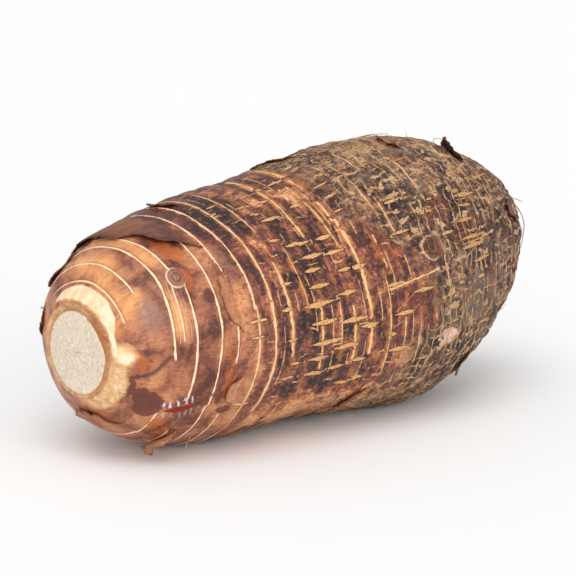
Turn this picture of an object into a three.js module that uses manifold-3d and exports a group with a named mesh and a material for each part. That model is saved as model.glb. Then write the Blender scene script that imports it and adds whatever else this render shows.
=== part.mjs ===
// A taro root: the whole corm of a taro plant, as it is sold, lying on its side.
//
// The corm is one piece of flesh in one skin, so the model is one solid. The crown, where the
// leaf stalks were sliced off, points to -X, and the blunt root end points to +X. Leaf scars ring
// it all the way along, a few side buds sit on the scars, and the belly that it lies on is a
// little flattened. Millimetres, +Z up; the origin is under the middle of the corm.

import * as THREE from "three";
import { mergeVertices } from "three/addons/utils/BufferGeometryUtils.js";
import Module from "manifold-3d";

// Driving dimensions.
const LENGTH = 230; // from the crown's cut face to the root end
const GIRTH = 112; // across the widest place
const CROWN_CUT = 35.5; // across the flat cut face
const WIDEST_AT = 0.644; // share of the length from the crown
const LYING_TILT = 1.9; // degrees that the root end stands higher than the crown
const BELLY_FLAT = 2; // depth that the belly is flattened by

// A slight waist between the crown's shoulder and the widest place.
const WAIST_AT = 0.41; // share of the length
const WAIST_DEPTH = 5;
const WAIST_SPREAD = 0.176; // share of the length

// The centre line is nearly straight: at the root end it climbs, and swings a little sideways.
const ROOT_SWING = -2.1;
const ROOT_RISE = 11.7;
const RISE_POWER = 2.65;

// Leaf scars, evenly spaced along the corm.
const FIRST_SCAR = 9.5;
const SCAR_SPACING = 8;
const LAST_SCAR_AT = 0.96; // share of the length
const SCAR_RIDGE = 0.7; // height of a scar above the skin
const BAND_DIP = 0.3; // depth of the skin between two scars

// Side buds: how far along each one sits, how far round (0 is up, 90 is towards -Y), its size.
const BUDS = [
  { along: 24.7, round: 46, across: 7, proud: 1.2 },
  { along: 33.2, round: 60.5, across: 5, proud: 0.9 },
  { along: 139.5, round: 67.5, across: 9, proud: 1.4 },
  { along: 119.5, round: 127, across: 7, proud: 1.2 },
  { along: 176.8, round: 24, across: 10, proud: 1.8 },
  { along: 88.5, round: 205, across: 8, proud: 1.5 },
  { along: 50.6, round: 291, across: 8, proud: 1.3 },
  { along: 154.5, round: 318, across: 9, proud: 1.5 },
];

const SIDES = 64; // facets round the corm
const ROOT_ROWS = 5; // rows that round off the root end past the last scar
const BUD_SIDES = 16; // facets round a bud
const BUD_ROWS = 10; // rows from a bud's tip to its foot
const MERGE_WITHIN = 1e-3; // vertices closer than this are one

const girthRadius = GIRTH / 2;
const crownRadius = CROWN_CUT / 2;

// Radius of the skin, without scars. Both halves are superellipses that meet at the widest place,
// and the crown's half is cut off flat where it is as wide as the cut face.
const CROWN_BLUNTNESS = 0.29;
const ROOT_BLUNTNESS = 1.6;
const crownSpan = 1 / Math.sqrt(1 - (crownRadius / girthRadius) ** (1 / CROWN_BLUNTNESS));

function skinRadius(share) {
  const waist = WAIST_DEPTH * Math.exp(-(((share - WAIST_AT) / WAIST_SPREAD) ** 2));
  if (share < WIDEST_AT) {
    const back = (WIDEST_AT - share) / (WIDEST_AT * crownSpan);
    return girthRadius * (1 - back ** 2) ** CROWN_BLUNTNESS - waist;
  }
  const ahead = (share - WIDEST_AT) / (1 - WIDEST_AT);
  return girthRadius * Math.sqrt(Math.max(0, 1 - ahead ** ROOT_BLUNTNESS)) - waist;
}

function scarPlaces() {
  const places = [];
  for (let along = FIRST_SCAR; along < LENGTH * LAST_SCAR_AT; along += SCAR_SPACING) {
    places.push(along);
  }
  return places;
}

// The outline that is turned round the axis: x is the radius and y is the distance from the crown.
function outline() {
  const points = [new THREE.Vector2(0, 0), new THREE.Vector2(crownRadius, 0)];
  let before = 0;
  for (const along of scarPlaces()) {
    const middle = (before + along) / 2;
    points.push(new THREE.Vector2(skinRadius(middle / LENGTH) - BAND_DIP, middle));
    points.push(new THREE.Vector2(skinRadius(along / LENGTH) + SCAR_RIDGE, along));
    before = along;
  }
  for (let row = 1; row < ROOT_ROWS; row++) {
    const along = before + (LENGTH - before) * Math.sin(((row / ROOT_ROWS) * Math.PI) / 2);
    points.push(new THREE.Vector2(skinRadius(along / LENGTH), along));
  }
  points.push(new THREE.Vector2(0, LENGTH));
  return points;
}

// How far the skin stands out of a perfect round: three low lobes that twist along the corm and
// fade to nothing at both ends.
const LOBES = 3;
const LOBE_HEIGHT = 1.7;
const LOBE_START = 1.0; // radians
const LOBE_TWIST = 7.3; // radians from crown to root end

function lump(share, angle) {
  const phase = LOBES * angle + LOBE_START - LOBE_TWIST * share;
  return -LOBE_HEIGHT * Math.sin(Math.PI * share) * Math.cos(phase);
}

function centreLine(share) {
  return { side: ROOT_SWING * share ** 3, rise: ROOT_RISE * share ** RISE_POWER };
}

// The point a given way along and round, at a given radius, on the bent and lumpy corm.
function onSkin(along, angle, radius) {
  const share = along / LENGTH;
  const { side, rise } = centreLine(share);
  const reach = radius + lump(share, angle) * Math.min(1, radius / crownRadius);
  return new THREE.Vector3(along, side - reach * Math.sin(angle), rise + reach * Math.cos(angle));
}

// The turned outline, with every vertex moved to its place on the corm.
function cormGeometry() {
  const turned = new THREE.LatheGeometry(outline(), SIDES);
  const position = turned.getAttribute("position");
  const point = new THREE.Vector3();
  for (let i = 0; i < position.count; i++) {
    point.fromBufferAttribute(position, i);
    const placed = onSkin(point.y, Math.atan2(point.x, point.z), Math.hypot(point.x, point.z));
    position.setXYZ(i, placed.x, placed.y, placed.z);
  }
  return turned;
}

// A low dome on the skin, sunk deep enough to join it.
function budGeometry({ along, round, across, proud }) {
  const angle = THREE.MathUtils.degToRad(round);
  const foot = onSkin(along, angle, skinRadius(along / LENGTH));
  const outward = new THREE.Vector3(0, -Math.sin(angle), Math.cos(angle));
  const depth = 2 * proud;
  const dome = new THREE.SphereGeometry(across / 2, BUD_SIDES, BUD_ROWS);
  dome.scale(1, (2 * depth) / across, 1);
  dome.applyQuaternion(
    new THREE.Quaternion().setFromUnitVectors(new THREE.Vector3(0, 1, 0), outward),
  );
  const centre = foot.addScaledVector(outward, proud - depth);
  return dome.translate(centre.x, centre.y, centre.z);
}

const wasm = await Module();
wasm.setup();

function toSolid(geometry) {
  const bare = geometry.clone();
  bare.deleteAttribute("normal");
  bare.deleteAttribute("uv");
  const merged = mergeVertices(bare, MERGE_WITHIN);
  return new wasm.Manifold(
    new wasm.Mesh({
      numProp: 3,
      vertProperties: merged.getAttribute("position").array,
      triVerts: new Uint32Array(merged.index.array),
    }),
  );
}

function toGeometry(solid) {
  const mesh = solid.getMesh();
  const geometry = new THREE.BufferGeometry();
  geometry.setAttribute("position", new THREE.BufferAttribute(mesh.vertProperties, 3));
  geometry.setIndex(new THREE.BufferAttribute(mesh.triVerts, 1));
  return geometry;
}

// Lays the corm down at its tilt, flattens its belly and centres it over the origin.
function layDown(geometry) {
  geometry.rotateY(THREE.MathUtils.degToRad(-LYING_TILT));
  geometry.computeBoundingBox();
  const { min, max } = geometry.boundingBox;
  const floor = min.z + BELLY_FLAT;
  geometry.translate(-(min.x + max.x) / 2, -(min.y + max.y) / 2, -floor);
  const below = new THREE.BoxGeometry(2 * LENGTH, 2 * GIRTH, GIRTH);
  below.translate(0, 0, -GIRTH / 2);
  return toSolid(geometry).subtract(toSolid(below));
}

let whole = toSolid(cormGeometry());
for (const bud of BUDS) {
  whole = whole.add(toSolid(budGeometry(bud)));
}

const skin = new THREE.MeshStandardMaterial({ color: 0x7a4a34, roughness: 0.75, metalness: 0 });
const corm = new THREE.Mesh(toGeometry(layDown(toGeometry(whole))), skin);
corm.name = "taro_corm";

const taro = new THREE.Group();
taro.add(corm);

export default taro;
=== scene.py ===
# %% [markdown]
# # A taro root, lying on its side
#
# A taro root is the corm of the plant: one swollen stem, ringed by the scars of its leaves. This
# lesson takes the plain solid that sets its size and place, lays a fine skin over it, and then
# gives the skin what a grown thing has: scars, side buds, corky splits, torn husk and loose fibres.
# The solid itself is only measured, and stays as it is.

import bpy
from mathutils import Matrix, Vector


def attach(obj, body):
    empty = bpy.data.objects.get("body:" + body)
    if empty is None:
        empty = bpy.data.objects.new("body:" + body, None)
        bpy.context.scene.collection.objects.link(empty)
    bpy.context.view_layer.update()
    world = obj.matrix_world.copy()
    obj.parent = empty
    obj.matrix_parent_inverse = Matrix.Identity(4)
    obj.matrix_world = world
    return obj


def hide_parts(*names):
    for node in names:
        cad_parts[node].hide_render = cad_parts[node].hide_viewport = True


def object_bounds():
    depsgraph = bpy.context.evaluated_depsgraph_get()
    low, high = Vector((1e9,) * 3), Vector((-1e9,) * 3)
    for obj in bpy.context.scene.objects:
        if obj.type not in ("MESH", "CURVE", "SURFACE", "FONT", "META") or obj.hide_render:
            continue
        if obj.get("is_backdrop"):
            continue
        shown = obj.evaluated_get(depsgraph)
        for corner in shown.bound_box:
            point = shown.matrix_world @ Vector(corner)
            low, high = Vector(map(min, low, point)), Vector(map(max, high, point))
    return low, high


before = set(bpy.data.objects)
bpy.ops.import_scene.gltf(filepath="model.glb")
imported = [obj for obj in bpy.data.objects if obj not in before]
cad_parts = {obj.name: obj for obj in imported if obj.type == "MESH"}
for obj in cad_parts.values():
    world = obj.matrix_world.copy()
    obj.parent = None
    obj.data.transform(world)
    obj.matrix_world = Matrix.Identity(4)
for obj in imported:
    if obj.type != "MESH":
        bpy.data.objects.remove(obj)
cad_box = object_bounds()
print("the solid's box:", [tuple(round(v, 4) for v in corner) for corner in cad_box])

# %% Tools
import math

import bpy
import numpy as np
from mathutils import Vector
from mathutils.bvhtree import BVHTree

MM = 0.001
rng = np.random.default_rng(41)

# %% [markdown]
# ## The eye and the table
#
# The camera comes first, so that each piece can be judged as soon as it is made. It stands low, a
# metre away, on the side of the cut crown, and a long lens keeps the round sections from
# stretching. The corm lies on a pale table under broad, soft lamps, because its glossy sheaths
# would turn a small lamp into a hard white spot.

# %% Camera
CAMERA_TURN = math.radians(-44.1)
CAMERA_RISE = math.radians(11.7)
CAMERA_AWAY = 0.966
LENS = 149.3
LOOKED_AT = Vector((0.0004, -0.0002, 0.051))

away = Vector((
    math.sin(CAMERA_TURN) * math.cos(CAMERA_RISE),
    -math.cos(CAMERA_TURN) * math.cos(CAMERA_RISE),
    math.sin(CAMERA_RISE),
))
lens = bpy.data.cameras.new("camera")
lens.lens = LENS
lens.sensor_width = 36
lens.shift_x = -0.0172
lens.shift_y = 0.0012
lens.clip_start = 0.05
lens.clip_end = 50
camera = bpy.data.objects.new("camera", lens)
camera.location = LOOKED_AT + away * CAMERA_AWAY
camera.rotation_euler = away.to_track_quat("Z", "Y").to_euler()
bpy.context.collection.objects.link(camera)
bpy.context.scene.camera = camera
print("camera at", tuple(round(v, 3) for v in camera.location))


# %% Lamps and surroundings
def soft_sun(name, direction, strength, spread):
    """A sun so wide that its shadows have no edge. The direction points to where it stands."""
    light = bpy.data.lights.new(name, "SUN")
    light.energy = strength
    light.angle = math.radians(spread)
    holder = bpy.data.objects.new(name, light)
    holder.rotation_euler = Vector(direction).to_track_quat("Z", "Y").to_euler()
    bpy.context.collection.objects.link(holder)


soft_sun("lamp_over", (-0.4, -0.3, 1), 1.15, 50)
soft_sun("lamp_front", (-0.95, -0.9, 0.25), 1.0, 50)
soft_sun("lamp_low", (-0.25, -1, 0.06), 1.3, 70)

ROOM_LIGHT = 0.62
world = bpy.data.worlds.new("soft_room")
world.use_nodes = True
world.node_tree.nodes["Background"].inputs["Color"].default_value = (1, 1, 1, 1)
world.node_tree.nodes["Background"].inputs["Strength"].default_value = ROOM_LIGHT
bpy.context.scene.world = world
bpy.context.scene.view_settings.view_transform = "Standard"

# %% [markdown]
# ## Where things are on a corm
#
# Every feature is placed the way a botanist would: how far along from the crown, in millimetres,
# and how far round, in degrees, with 0 on top and 90 on the side of the camera. The crown's cut
# face is found on the solid as its furthest points against the axis, so the skin, which is measured
# from there, always lies on the solid.

# %% Finding the axis on the solid
LYING_TILT = math.radians(1.9)
AXIS = np.array((math.cos(LYING_TILT), 0, math.sin(LYING_TILT)))
UP = np.array((-math.sin(LYING_TILT), 0, math.cos(LYING_TILT)))
SIDE = np.array((0, -1, 0))
ROOT_RISE = 11.7 * MM  # the centre line climbs by this much at the root end
RISE_POWER = 2.65
ROOT_SWING = 2.1 * MM  # and swings sideways by this much

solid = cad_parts["taro_corm"]
corners = np.array([v.co for v in solid.data.vertices])
solid_faces = [tuple(p.vertices) for p in solid.data.polygons]
solid_tree = BVHTree.FromPolygons([tuple(c) for c in corners], solid_faces)

reach = corners @ AXIS
cut_face = corners[reach < reach.min() + 0.1 * MM]
CROWN = (cut_face.min(axis=0) + cut_face.max(axis=0)) / 2
LENGTH = reach.max() - reach.min()
GIRTH_RADIUS = (cad_box[1].y - cad_box[0].y) / 2
print("crown at", CROWN.round(4), "and", round(LENGTH, 4), "long")


def centre(along):
    """The point of the centre line at a distance from the crown."""
    share = np.clip(np.asarray(along, dtype=float) / LENGTH, 0, 1)[..., None]
    line = CROWN + share * LENGTH * AXIS
    return line + ROOT_RISE * share**RISE_POWER * UP + ROOT_SWING * share**3 * SIDE


def outward(angle):
    """The direction away from the centre line at an angle."""
    angle = np.asarray(angle, dtype=float)[..., None]
    return np.cos(angle) * UP + np.sin(angle) * SIDE


# %% [markdown]
# ## The skin's mesh
#
# The skin starts as a cylinder of the corm's length and girth. By hand one would cut a loop at
# each leaf scar and then finer loops in between, so that the loops follow the plant, and this is
# what the bisect and subdivide operators do here. The crown's cap is inset a few times and poked,
# which gives it rings, and the root end's cap is only poked.

# %% Leaf scars
STALK_SCAR = 3.5  # the youngest one, right beside the cut
FIRST_SCAR = 9.5
SCAR_SPACING = 8
LAST_SCAR = 221
scars = np.array([STALK_SCAR, *np.arange(FIRST_SCAR, LAST_SCAR, SCAR_SPACING)]) * MM
print(len(scars), "leaf scars")

# %% Cylinder, loops and caps
SIDES = 320
FAN_START = 0.85 * LENGTH  # from here on the rows fan out round the root end
# (from, to, rows in each band between two scars)
LOOPS = (
    (0, 3.5, 14),
    (3.5, 9.5, 11),
    (9.5, 17.5, 12),
    (17.5, 33.5, 10),
    (33.5, 187, 8),
    (187, 230, 11),
)
CAP_INSETS = (3.3,) * 2 + (6.65,) * 7  # from the rim in, in mm
FLESH_FROM = 6.6  # the first insets stay skin, so the pale flesh starts inside them


def only(chosen):
    """Nothing but this object stays selected, and it is active."""
    bpy.ops.object.select_all(action="DESELECT")
    chosen.select_set(True)
    bpy.context.view_layer.objects.active = chosen


def pick(piece, mode, test):
    """In edit mode, selects the elements of one kind whose middle passes the test."""
    bpy.ops.mesh.select_all(action="DESELECT")
    bpy.ops.object.mode_set(mode="OBJECT")
    mesh = piece.data
    for element in getattr(mesh, mode):
        ends = [mesh.vertices[i].co for i in element.vertices]
        element.select = test(ends)
    bpy.ops.object.mode_set(mode="EDIT")


bpy.ops.object.select_all(action="DESELECT")
bpy.ops.mesh.primitive_cylinder_add(
    vertices=SIDES,
    radius=GIRTH_RADIUS,
    depth=LENGTH,
    end_fill_type="NGON",
    location=(LENGTH / 2, 0, 0),
    rotation=(0, math.radians(90), 0),
)
corm = bpy.context.object
corm.name = "corm"
bpy.ops.object.transform_apply(location=True, rotation=True, scale=True)
bpy.ops.object.mode_set(mode="EDIT")
for scar in scars:
    bpy.ops.mesh.select_all(action="SELECT")
    bpy.ops.mesh.bisect(plane_co=(scar, 0, 0), plane_no=(1, 0, 0))
print("loops at the scars:", len(corm.data.vertices), "vertices before the finer loops")

# %% Finer loops
bpy.ops.mesh.select_mode(type="EDGE")
for first, last, rows in LOOPS:
    def along_band(ends, first=first * MM, last=last * MM):
        middle = (ends[0].x + ends[1].x) / 2
        return abs(ends[0].x - ends[1].x) > MM and first < middle < last

    pick(corm, "edges", along_band)
    bpy.ops.mesh.subdivide(number_cuts=rows - 1)

# %% Caps
bpy.ops.mesh.select_mode(type="FACE")
pick(corm, "polygons", lambda ends: len(ends) > 4 and ends[0].x < MM)
for inset in CAP_INSETS:
    bpy.ops.mesh.inset(thickness=inset * MM)
bpy.ops.mesh.poke()
pick(corm, "polygons", lambda ends: len(ends) > 4 and ends[0].x > MM)
bpy.ops.mesh.poke()
bpy.ops.object.mode_set(mode="OBJECT")
print("the cylinder has", len(corm.data.vertices), "vertices in rows")

# %% [markdown]
# ## Laying the skin on the solid
#
# Each vertex keeps its place along and round, and a ray from the centre line finds how far out the
# solid's surface is there. Past the last stretch the rays fan out, so that the rows stay evenly
# spaced round the blunt root end. The solid is faceted, so the distances are then averaged a
# little, round the corm and along it, as a sculptor would smooth a rough block.

# %% Rows and columns
flat = np.array([v.co for v in corm.data.vertices])
rim = np.hypot(flat[:, 1], flat[:, 2])
at_crown = flat[:, 0] < 0.01 * MM
at_root = flat[:, 0] > LENGTH - 0.01 * MM
station = np.where(at_crown, rim - GIRTH_RADIUS, flat[:, 0])
station = np.where(at_root, LENGTH + GIRTH_RADIUS - rim, station)
angle = np.arctan2(-flat[:, 1], flat[:, 2])

poles = rim < 0.01 * MM
order = np.argsort(station[~poles])
in_order = station[~poles][order]
new_row = np.diff(in_order, prepend=-1) > 0.02 * MM
row = np.empty(len(order), dtype=int)
row[order] = np.cumsum(new_row) - 1
row_places = in_order[new_row]
column = np.round(angle[~poles] / (2 * math.pi / SIDES)).astype(int) % SIDES
grid = np.full((len(row_places), SIDES), -1)
grid[row, column] = np.flatnonzero(~poles)
assert (grid >= 0).all(), "a row misses a vertex"
crown_pole = np.flatnonzero(poles & at_crown)[0]
root_pole = np.flatnonzero(poles & at_root)[0]
theta = (np.arange(SIDES) * 2 * math.pi / SIDES)[None, :].repeat(len(row_places), axis=0)
theta = (theta + math.pi) % (2 * math.pi) - math.pi
print("rows and columns:", grid.shape)

# %% [markdown]
# A leaf scar is never a perfect ring. It sways as it goes round, and on the far side it leans towards
# the crown. One function of the place and the angle shifts every loop of the mesh, so the loops, and
# whatever is drawn along them later, all wander together.

# %% Wandering scars
WANDER = 0.55 * MM  # how far a scar strays from a perfect ring
LEAN = 5.5 * MM  # how far the far side of a ring lies nearer the crown
LEAN_FROM = math.radians(66)


def wander(along, around):
    """How far a place on the skin is shifted along, smooth all the way round."""
    turns = along / (30 * MM)
    sway = np.sin(2 * around + 1.3 * turns) + 0.6 * np.sin(3 * around - 2.1 * turns + 1)
    ripple = 0.35 * np.sin(7 * around + 4.3 * turns) + 0.2 * np.sin(13 * around - 3.7 * turns)
    lean = LEAN * (1 - np.cos(around - LEAN_FROM)) / 2 * np.clip(1.6 - along / (90 * MM), 0, 1)
    held = np.clip(along / (26 * MM), 0, 1) * np.clip((LENGTH - along) / (45 * MM), 0, 1)
    return held * (WANDER * (sway + ripple) - lean)


places = np.clip(row_places, 0, LENGTH)[:, None].repeat(SIDES, axis=1)
along = places + wander(places, theta)

# %% [markdown]
# Now each vertex gets its ray. By hand this would be a Shrinkwrap modifier. Casting the rays in code
# keeps the distances as numbers in rows and columns, which are easy to average and to sculpt.

# %% Rays from the centre line
fan = np.clip((places - FAN_START) / (LENGTH - FAN_START), 0, 1) * math.radians(88.5)
tip = centre(LENGTH)
tipward = tip - centre(FAN_START)
tipward /= np.linalg.norm(tipward)
start = centre(np.where(fan > 0, FAN_START, np.maximum(along, 0.05 * MM)))
heading = np.cos(fan)[..., None] * outward(theta) + np.sin(fan)[..., None] * tipward
distance = np.zeros(theta.shape)
for r in range(len(row_places)):
    for c in range(SIDES):
        hit = solid_tree.ray_cast(Vector(start[r, c]), Vector(heading[r, c]))
        distance[r, c] = hit[3]
on_cap = row_places < 0
first_skin = int(on_cap.sum())
print("the skin lies", distance.min().round(4), "to", distance.max().round(4), "out")


# %% Averaging the facets away
def blur(field, rows, columns):
    """A field on the rows and columns, averaged along and round by so many of them."""
    waves = np.fft.rfftfreq(SIDES)
    keep = np.exp(-2 * (math.pi * waves * columns) ** 2)
    out = np.fft.irfft(np.fft.rfft(field, axis=1) * keep, n=SIDES, axis=1)
    if rows > 0:
        far = int(3 * rows) + 1
        weights = np.exp(-0.5 * (np.arange(-far, far + 1) / rows) ** 2)
        weights /= weights.sum()
        padded = np.concatenate([out[:1].repeat(far, 0), out, out[-1:].repeat(far, 0)])
        out = sum(w * padded[i : i + len(out)] for i, w in enumerate(weights))
    return out


skin_rows = slice(first_skin, None)
smooth = distance.copy()
smooth[skin_rows] = blur(distance[skin_rows], 3, 2.5)
steep = np.clip(places / (8 * MM), 0, 1)  # near the crown the rows are left as they are
distance = steep * smooth + (1 - steep) * blur(distance, 0, 2.5)

# %% [markdown]
# ## Sculpting
#
# The relief is one number for each vertex: how far it stands out of the smooth skin. Each feature
# adds to that number over its own stretch, with the same brush: an ellipse with a place, a length
# along the corm and a width round it. The brush also gives each vertex its place inside the
# ellipse, which the materials read later, so colour and relief always agree.

# %% The brush
radius_here = np.maximum(distance * np.cos(fan), 3 * MM)
smooth_skin = start + heading * distance[..., None]
run = np.linalg.norm(np.diff(smooth_skin, axis=0), axis=-1).mean(axis=1)
run = np.concatenate([[0], np.cumsum(run)]) / MM
run -= run[first_skin]
run[on_cap] = row_places[on_cap] * distance[first_skin].mean() / GIRTH_RADIUS / MM
# How far over the skin each vertex is from the rim, in mm.
run_here = run[:, None].repeat(SIDES, axis=1) + (along - places) / MM


def run_to(place):
    """How long the way over the skin is from the rim to a place along the corm. Both in mm."""
    return np.interp(place, row_places[first_skin:] / MM, run[first_skin:])


def turned_by(around):
    """How far round each vertex is from an angle in degrees, over the skin, in mm."""
    off = (theta - math.radians(around) + math.pi) % (2 * math.pi) - math.pi
    return off * radius_here / MM


def brush(place, around, length, width, turned=0.0):
    """Each vertex's place in an ellipse: both numbers run from -1 to 1 inside it. Sizes in mm."""
    ahead = run_here - run_to(place)
    sideways = turned_by(around)
    turn = math.radians(turned)
    u = ahead * math.cos(turn) + sideways * math.sin(turn)
    v = sideways * math.cos(turn) - ahead * math.sin(turn)
    return 2 * u / length, 2 * v / width


def inside(u, v, soft=0.35):
    """1 in the middle of the ellipse, fading to 0 at its outline."""
    return np.clip((1 - np.hypot(u, v)) / soft, 0, 1)


def all_round(*points):
    """A value that changes with the angle, given at some angles in degrees."""
    return np.interp(np.degrees(theta), *zip(*points), period=360)


relief = np.zeros(theta.shape)

# %% [markdown]
# ### Scars
#
# A leaf sheath wrapped the corm above each scar, so each band of skin is highest at its root end,
# where the sheath grew on, and the skin drops a little on the far side of the scar.

# %% Scar steps
RING_RIDGE = 0.25  # mm that the skin rises at a scar
scar_count = np.interp(places, np.concatenate([[0], scars, [LENGTH]]), np.arange(len(scars) + 2))
in_band = scar_count % 1
step = np.interp(along / MM, (0, 30, 50, 110, 190, 230), (0, 0.1, 0.4, 0.32, 0.22, 0.1))
relief += step * (in_band - 0.5)
to_scar = np.abs(scar_count - np.round(scar_count)) * SCAR_SPACING
relief += RING_RIDGE * np.exp(-((to_scar / 0.7) ** 2)) * np.clip((along / MM - 36) / 6, 0, 1)

# %% [markdown]
# The scars that show most are drawn one by one. Each is a stretch of a ring that takes a scar's
# wandering course from one angle to another. Each vertex keeps how far it is to the side of the
# nearest line, so the line can be drawn later as thin as it is, however wide the faces are. Each
# line also lifts the skin into a low ridge.

# %% Rings drawn one by one
# (along, from, to, width): the angles in degrees, the rest in mm
RINGS = (
    (4.5, 320, 58, 0.9), (9.5, 172, 42, 1.0), (17.5, 290, 90, 1.5), (15.5, 154, 290, 1.1),
    (16, 124, 154, 1.1), (23, 340, 48, 1.1), (21, 48, 80, 0.8), (25.5, 53, 116, 1.5),
    (25.5, 146, 340, 1.0), (35, 26, 122, 1.3), (34, 122, 350, 1.3), (41.5, 345, 55, 1.2),
    (41.5, 75, 96, 1.1), (41.5, 129, 190, 1.0), (49.5, 345, 73, 1.2), (50.5, 73, 145, 1.3),
    (57.5, 340, 59, 1.2), (57.5, 59, 130, 1.6), (67, 350, 36, 0.9), (65, 56, 98, 1.5),
    (74, 50, 78, 1.0), (80, 78, 108, 1.0), (89.5, 81, 98, 0.8), (96, 84, 109, 1.0),
    (87, 350, 46, 1.2), (99, 15, 54, 0.9), (103, 345, 42, 1.5), (104, 42, 106, 1.7),
    (113.5, 78, 118, 1.0), (116, 56, 73, 0.8), (122, 32, 43, 0.7), (125.5, 43, 56, 0.8),
)
RING_STEP = 8  # degrees from one point of a ring to the next
CRACK = (1.5, (110, 81), (141, 78))  # the width, and two points: it runs along the corm
DRAWN_WITHIN = 2.2  # mm to each side of a line
LINE_RIDGE = 0.22  # mm that the skin rises along a line


def beside(points):
    """How far each vertex is beside a line, with a sign, and how far past its ends. In mm."""
    offset = np.full(theta.shape, 99.0)
    past = np.full(theta.shape, 99.0)
    for (place, around), (next_place, next_around) in zip(points, points[1:]):
        ahead = run_here - run_to(place)
        sideways = turned_by(around)
        step_ahead = run_to(next_place) - run_to(place)
        turn = (next_around - around + 180) % 360 - 180
        step_side = math.radians(turn) * radius_here / MM
        length = np.hypot(step_ahead, step_side)
        share = (ahead * step_ahead + sideways * step_side) / length**2
        side = (ahead * step_side - sideways * step_ahead) / length
        beyond = (np.abs(share - 0.5) - 0.5) * length
        away = np.hypot(side, np.maximum(beyond, 0))
        nearer = away < np.hypot(offset, np.maximum(past, 0))
        offset = np.where(nearer, side, offset)
        past = np.where(nearer, beyond, past)
    return offset, past


def ring_points(place, first, last):
    """Points on the course that a scar takes from one angle to another."""
    turn = (last - first) % 360
    points = []
    for around in first + np.linspace(0, turn, max(3, round(turn / RING_STEP))):
        stray = float(wander(place * MM, math.radians(around))) / MM
        points.append((place + stray, around % 360))
    return points


lines = [(width, *ring_points(place, first, last)) for place, first, last, width in RINGS]
lines.append(CRACK)
line_place = np.zeros(theta.shape + (3,))
line_away = np.full(theta.shape, 99.0)
for width, *points in lines:
    offset, past = beside(points)
    away = np.hypot(offset, np.maximum(past, 0))
    shown = np.clip(1 - past / 2, 0, 1) * np.clip((DRAWN_WITHIN - np.abs(offset)) / 0.6, 0, 1)
    here = away < line_away
    line_away[here] = away[here]
    width_here = np.full(theta.shape, width)
    line_place[here] = np.stack([np.clip(offset, -5, 5), width_here, shown], axis=-1)[here]
    relief += LINE_RIDGE * np.exp(-((away / (0.6 * width)) ** 2)) * (line_away >= away)
print(len(lines), "lines drawn")

# %% [markdown]
# Under the shoot, one sheath ends in a torn edge that runs back to the crown. Its shadow is also
# painted into the skin's colour, along the low side of the step.

# %% Torn step
STEP_EDGE = ((16, 90), (11, 100), (5, 107))  # (along, round) places
STEP_HEIGHT = 0.45
step_off, step_past = beside(STEP_EDGE)
step_held = np.clip(1 - step_past / 3, 0, 1) * np.clip((9 - np.abs(step_off)) / 8, 0, 1)
relief += STEP_HEIGHT * step_held * np.clip(step_off / 0.7, -1, 1)
# painted shadow: a dark band along the low side of the torn step
step_shadow = np.clip(1 - step_past / 1.5, 0, 1) * np.exp(-(((step_off + 0.5) / 0.75) ** 2))

# %% [markdown]
# Nothing that grew is smooth. Random numbers, one for each vertex, are averaged over a few rows and
# columns, which makes bumps of a chosen size. Wide, low lumps lie everywhere, and small, sharp ones
# only on the bark towards the root end.

# %% Lumps, pits and bark
barky = np.clip((along / MM - 105) / 40, 0, 1)


def rough(rows, columns, height):
    """Seeded random bumps, so many rows and columns wide."""
    field = blur(rng.normal(size=theta.shape), rows, columns)
    return height * field / field.std()


relief += rough(16, 22, 0.35) * np.clip(along / (20 * MM), 0, 1)
relief += rough(5, 8, 0.14) * (0.3 + 0.7 * np.clip((along / MM - 38) / 20, 0, 1))
relief += rough(4, 1.2, 0.22) * barky
relief += rough(1.0, 1.0, 0.13) * barky
relief += rough(1.2, 4, 0.14) * barky
relief += rough(9, 7, 0.3) * barky

# %% [markdown]
# ### The cut crown
#
# The leaf stalks were sliced off, and the knife left three things: the pale disc of flesh, a
# groove round it where the last sheath has shrunk away, and beside the groove a crescent, which is
# the cut through the next leaf base. A pale bump beside them is where a small shoot broke off.

# %% Groove, crescent and shoot
def arc(middle, spread, fade=14):
    """1 over a stretch round the corm, fading at its two ends. All in degrees."""
    off = np.abs((np.degrees(theta) - middle + 180) % 360 - 180)
    return np.clip((spread - off) / fade, 0, 1)


def bell(value, middle, spread):
    return np.exp(-(((value - middle) / spread) ** 2))


on_skin = run_here > 0
groove = bell(run_here, 0.2, 0.9) * arc(12, 62) + 0.6 * bell(run_here, 7.4, 0.7) * arc(170, 60)
crescent_from = all_round((-46, 2), (-12, 0.7), (15, 0.5), (45, 0.8), (64, 1.3), (80, 0.6), (100, 0))
crescent_to = all_round((-46, 3), (-22, 5.2), (0, 6.3), (37, 6.9), (54, 5.8), (66, 3.6), (100, 2))
crescent = np.minimum(run_here - crescent_from, crescent_to - run_here) / 1.2 + 0.3
crescent = np.clip(crescent, 0, 1) * arc(25, 72, 14) * on_skin
relief -= 0.7 * groove * on_skin
relief += 0.5 * crescent
soft_reach = all_round((76, 3), (95, 7.5), (115, 9.8), (140, 8.6), (170, 6), (200, 4))
soft_flesh = np.clip((soft_reach - run_here) / 2.6, 0, 1) * arc(132, 58, 26) * on_skin
relief += 0.4 * soft_flesh
shoot = inside(*brush(3.0, 87.5, 15, 14), soft=0.9)
relief += 1.9 * shoot

# %% [markdown]
# ### Side buds
#
# A bud sits on a scar: a low dome inside a thin raised rim. The large ones match the solid's.

# %% Buds
BUD_RIM = 0.25  # mm that a bud's rim stands out
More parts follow.
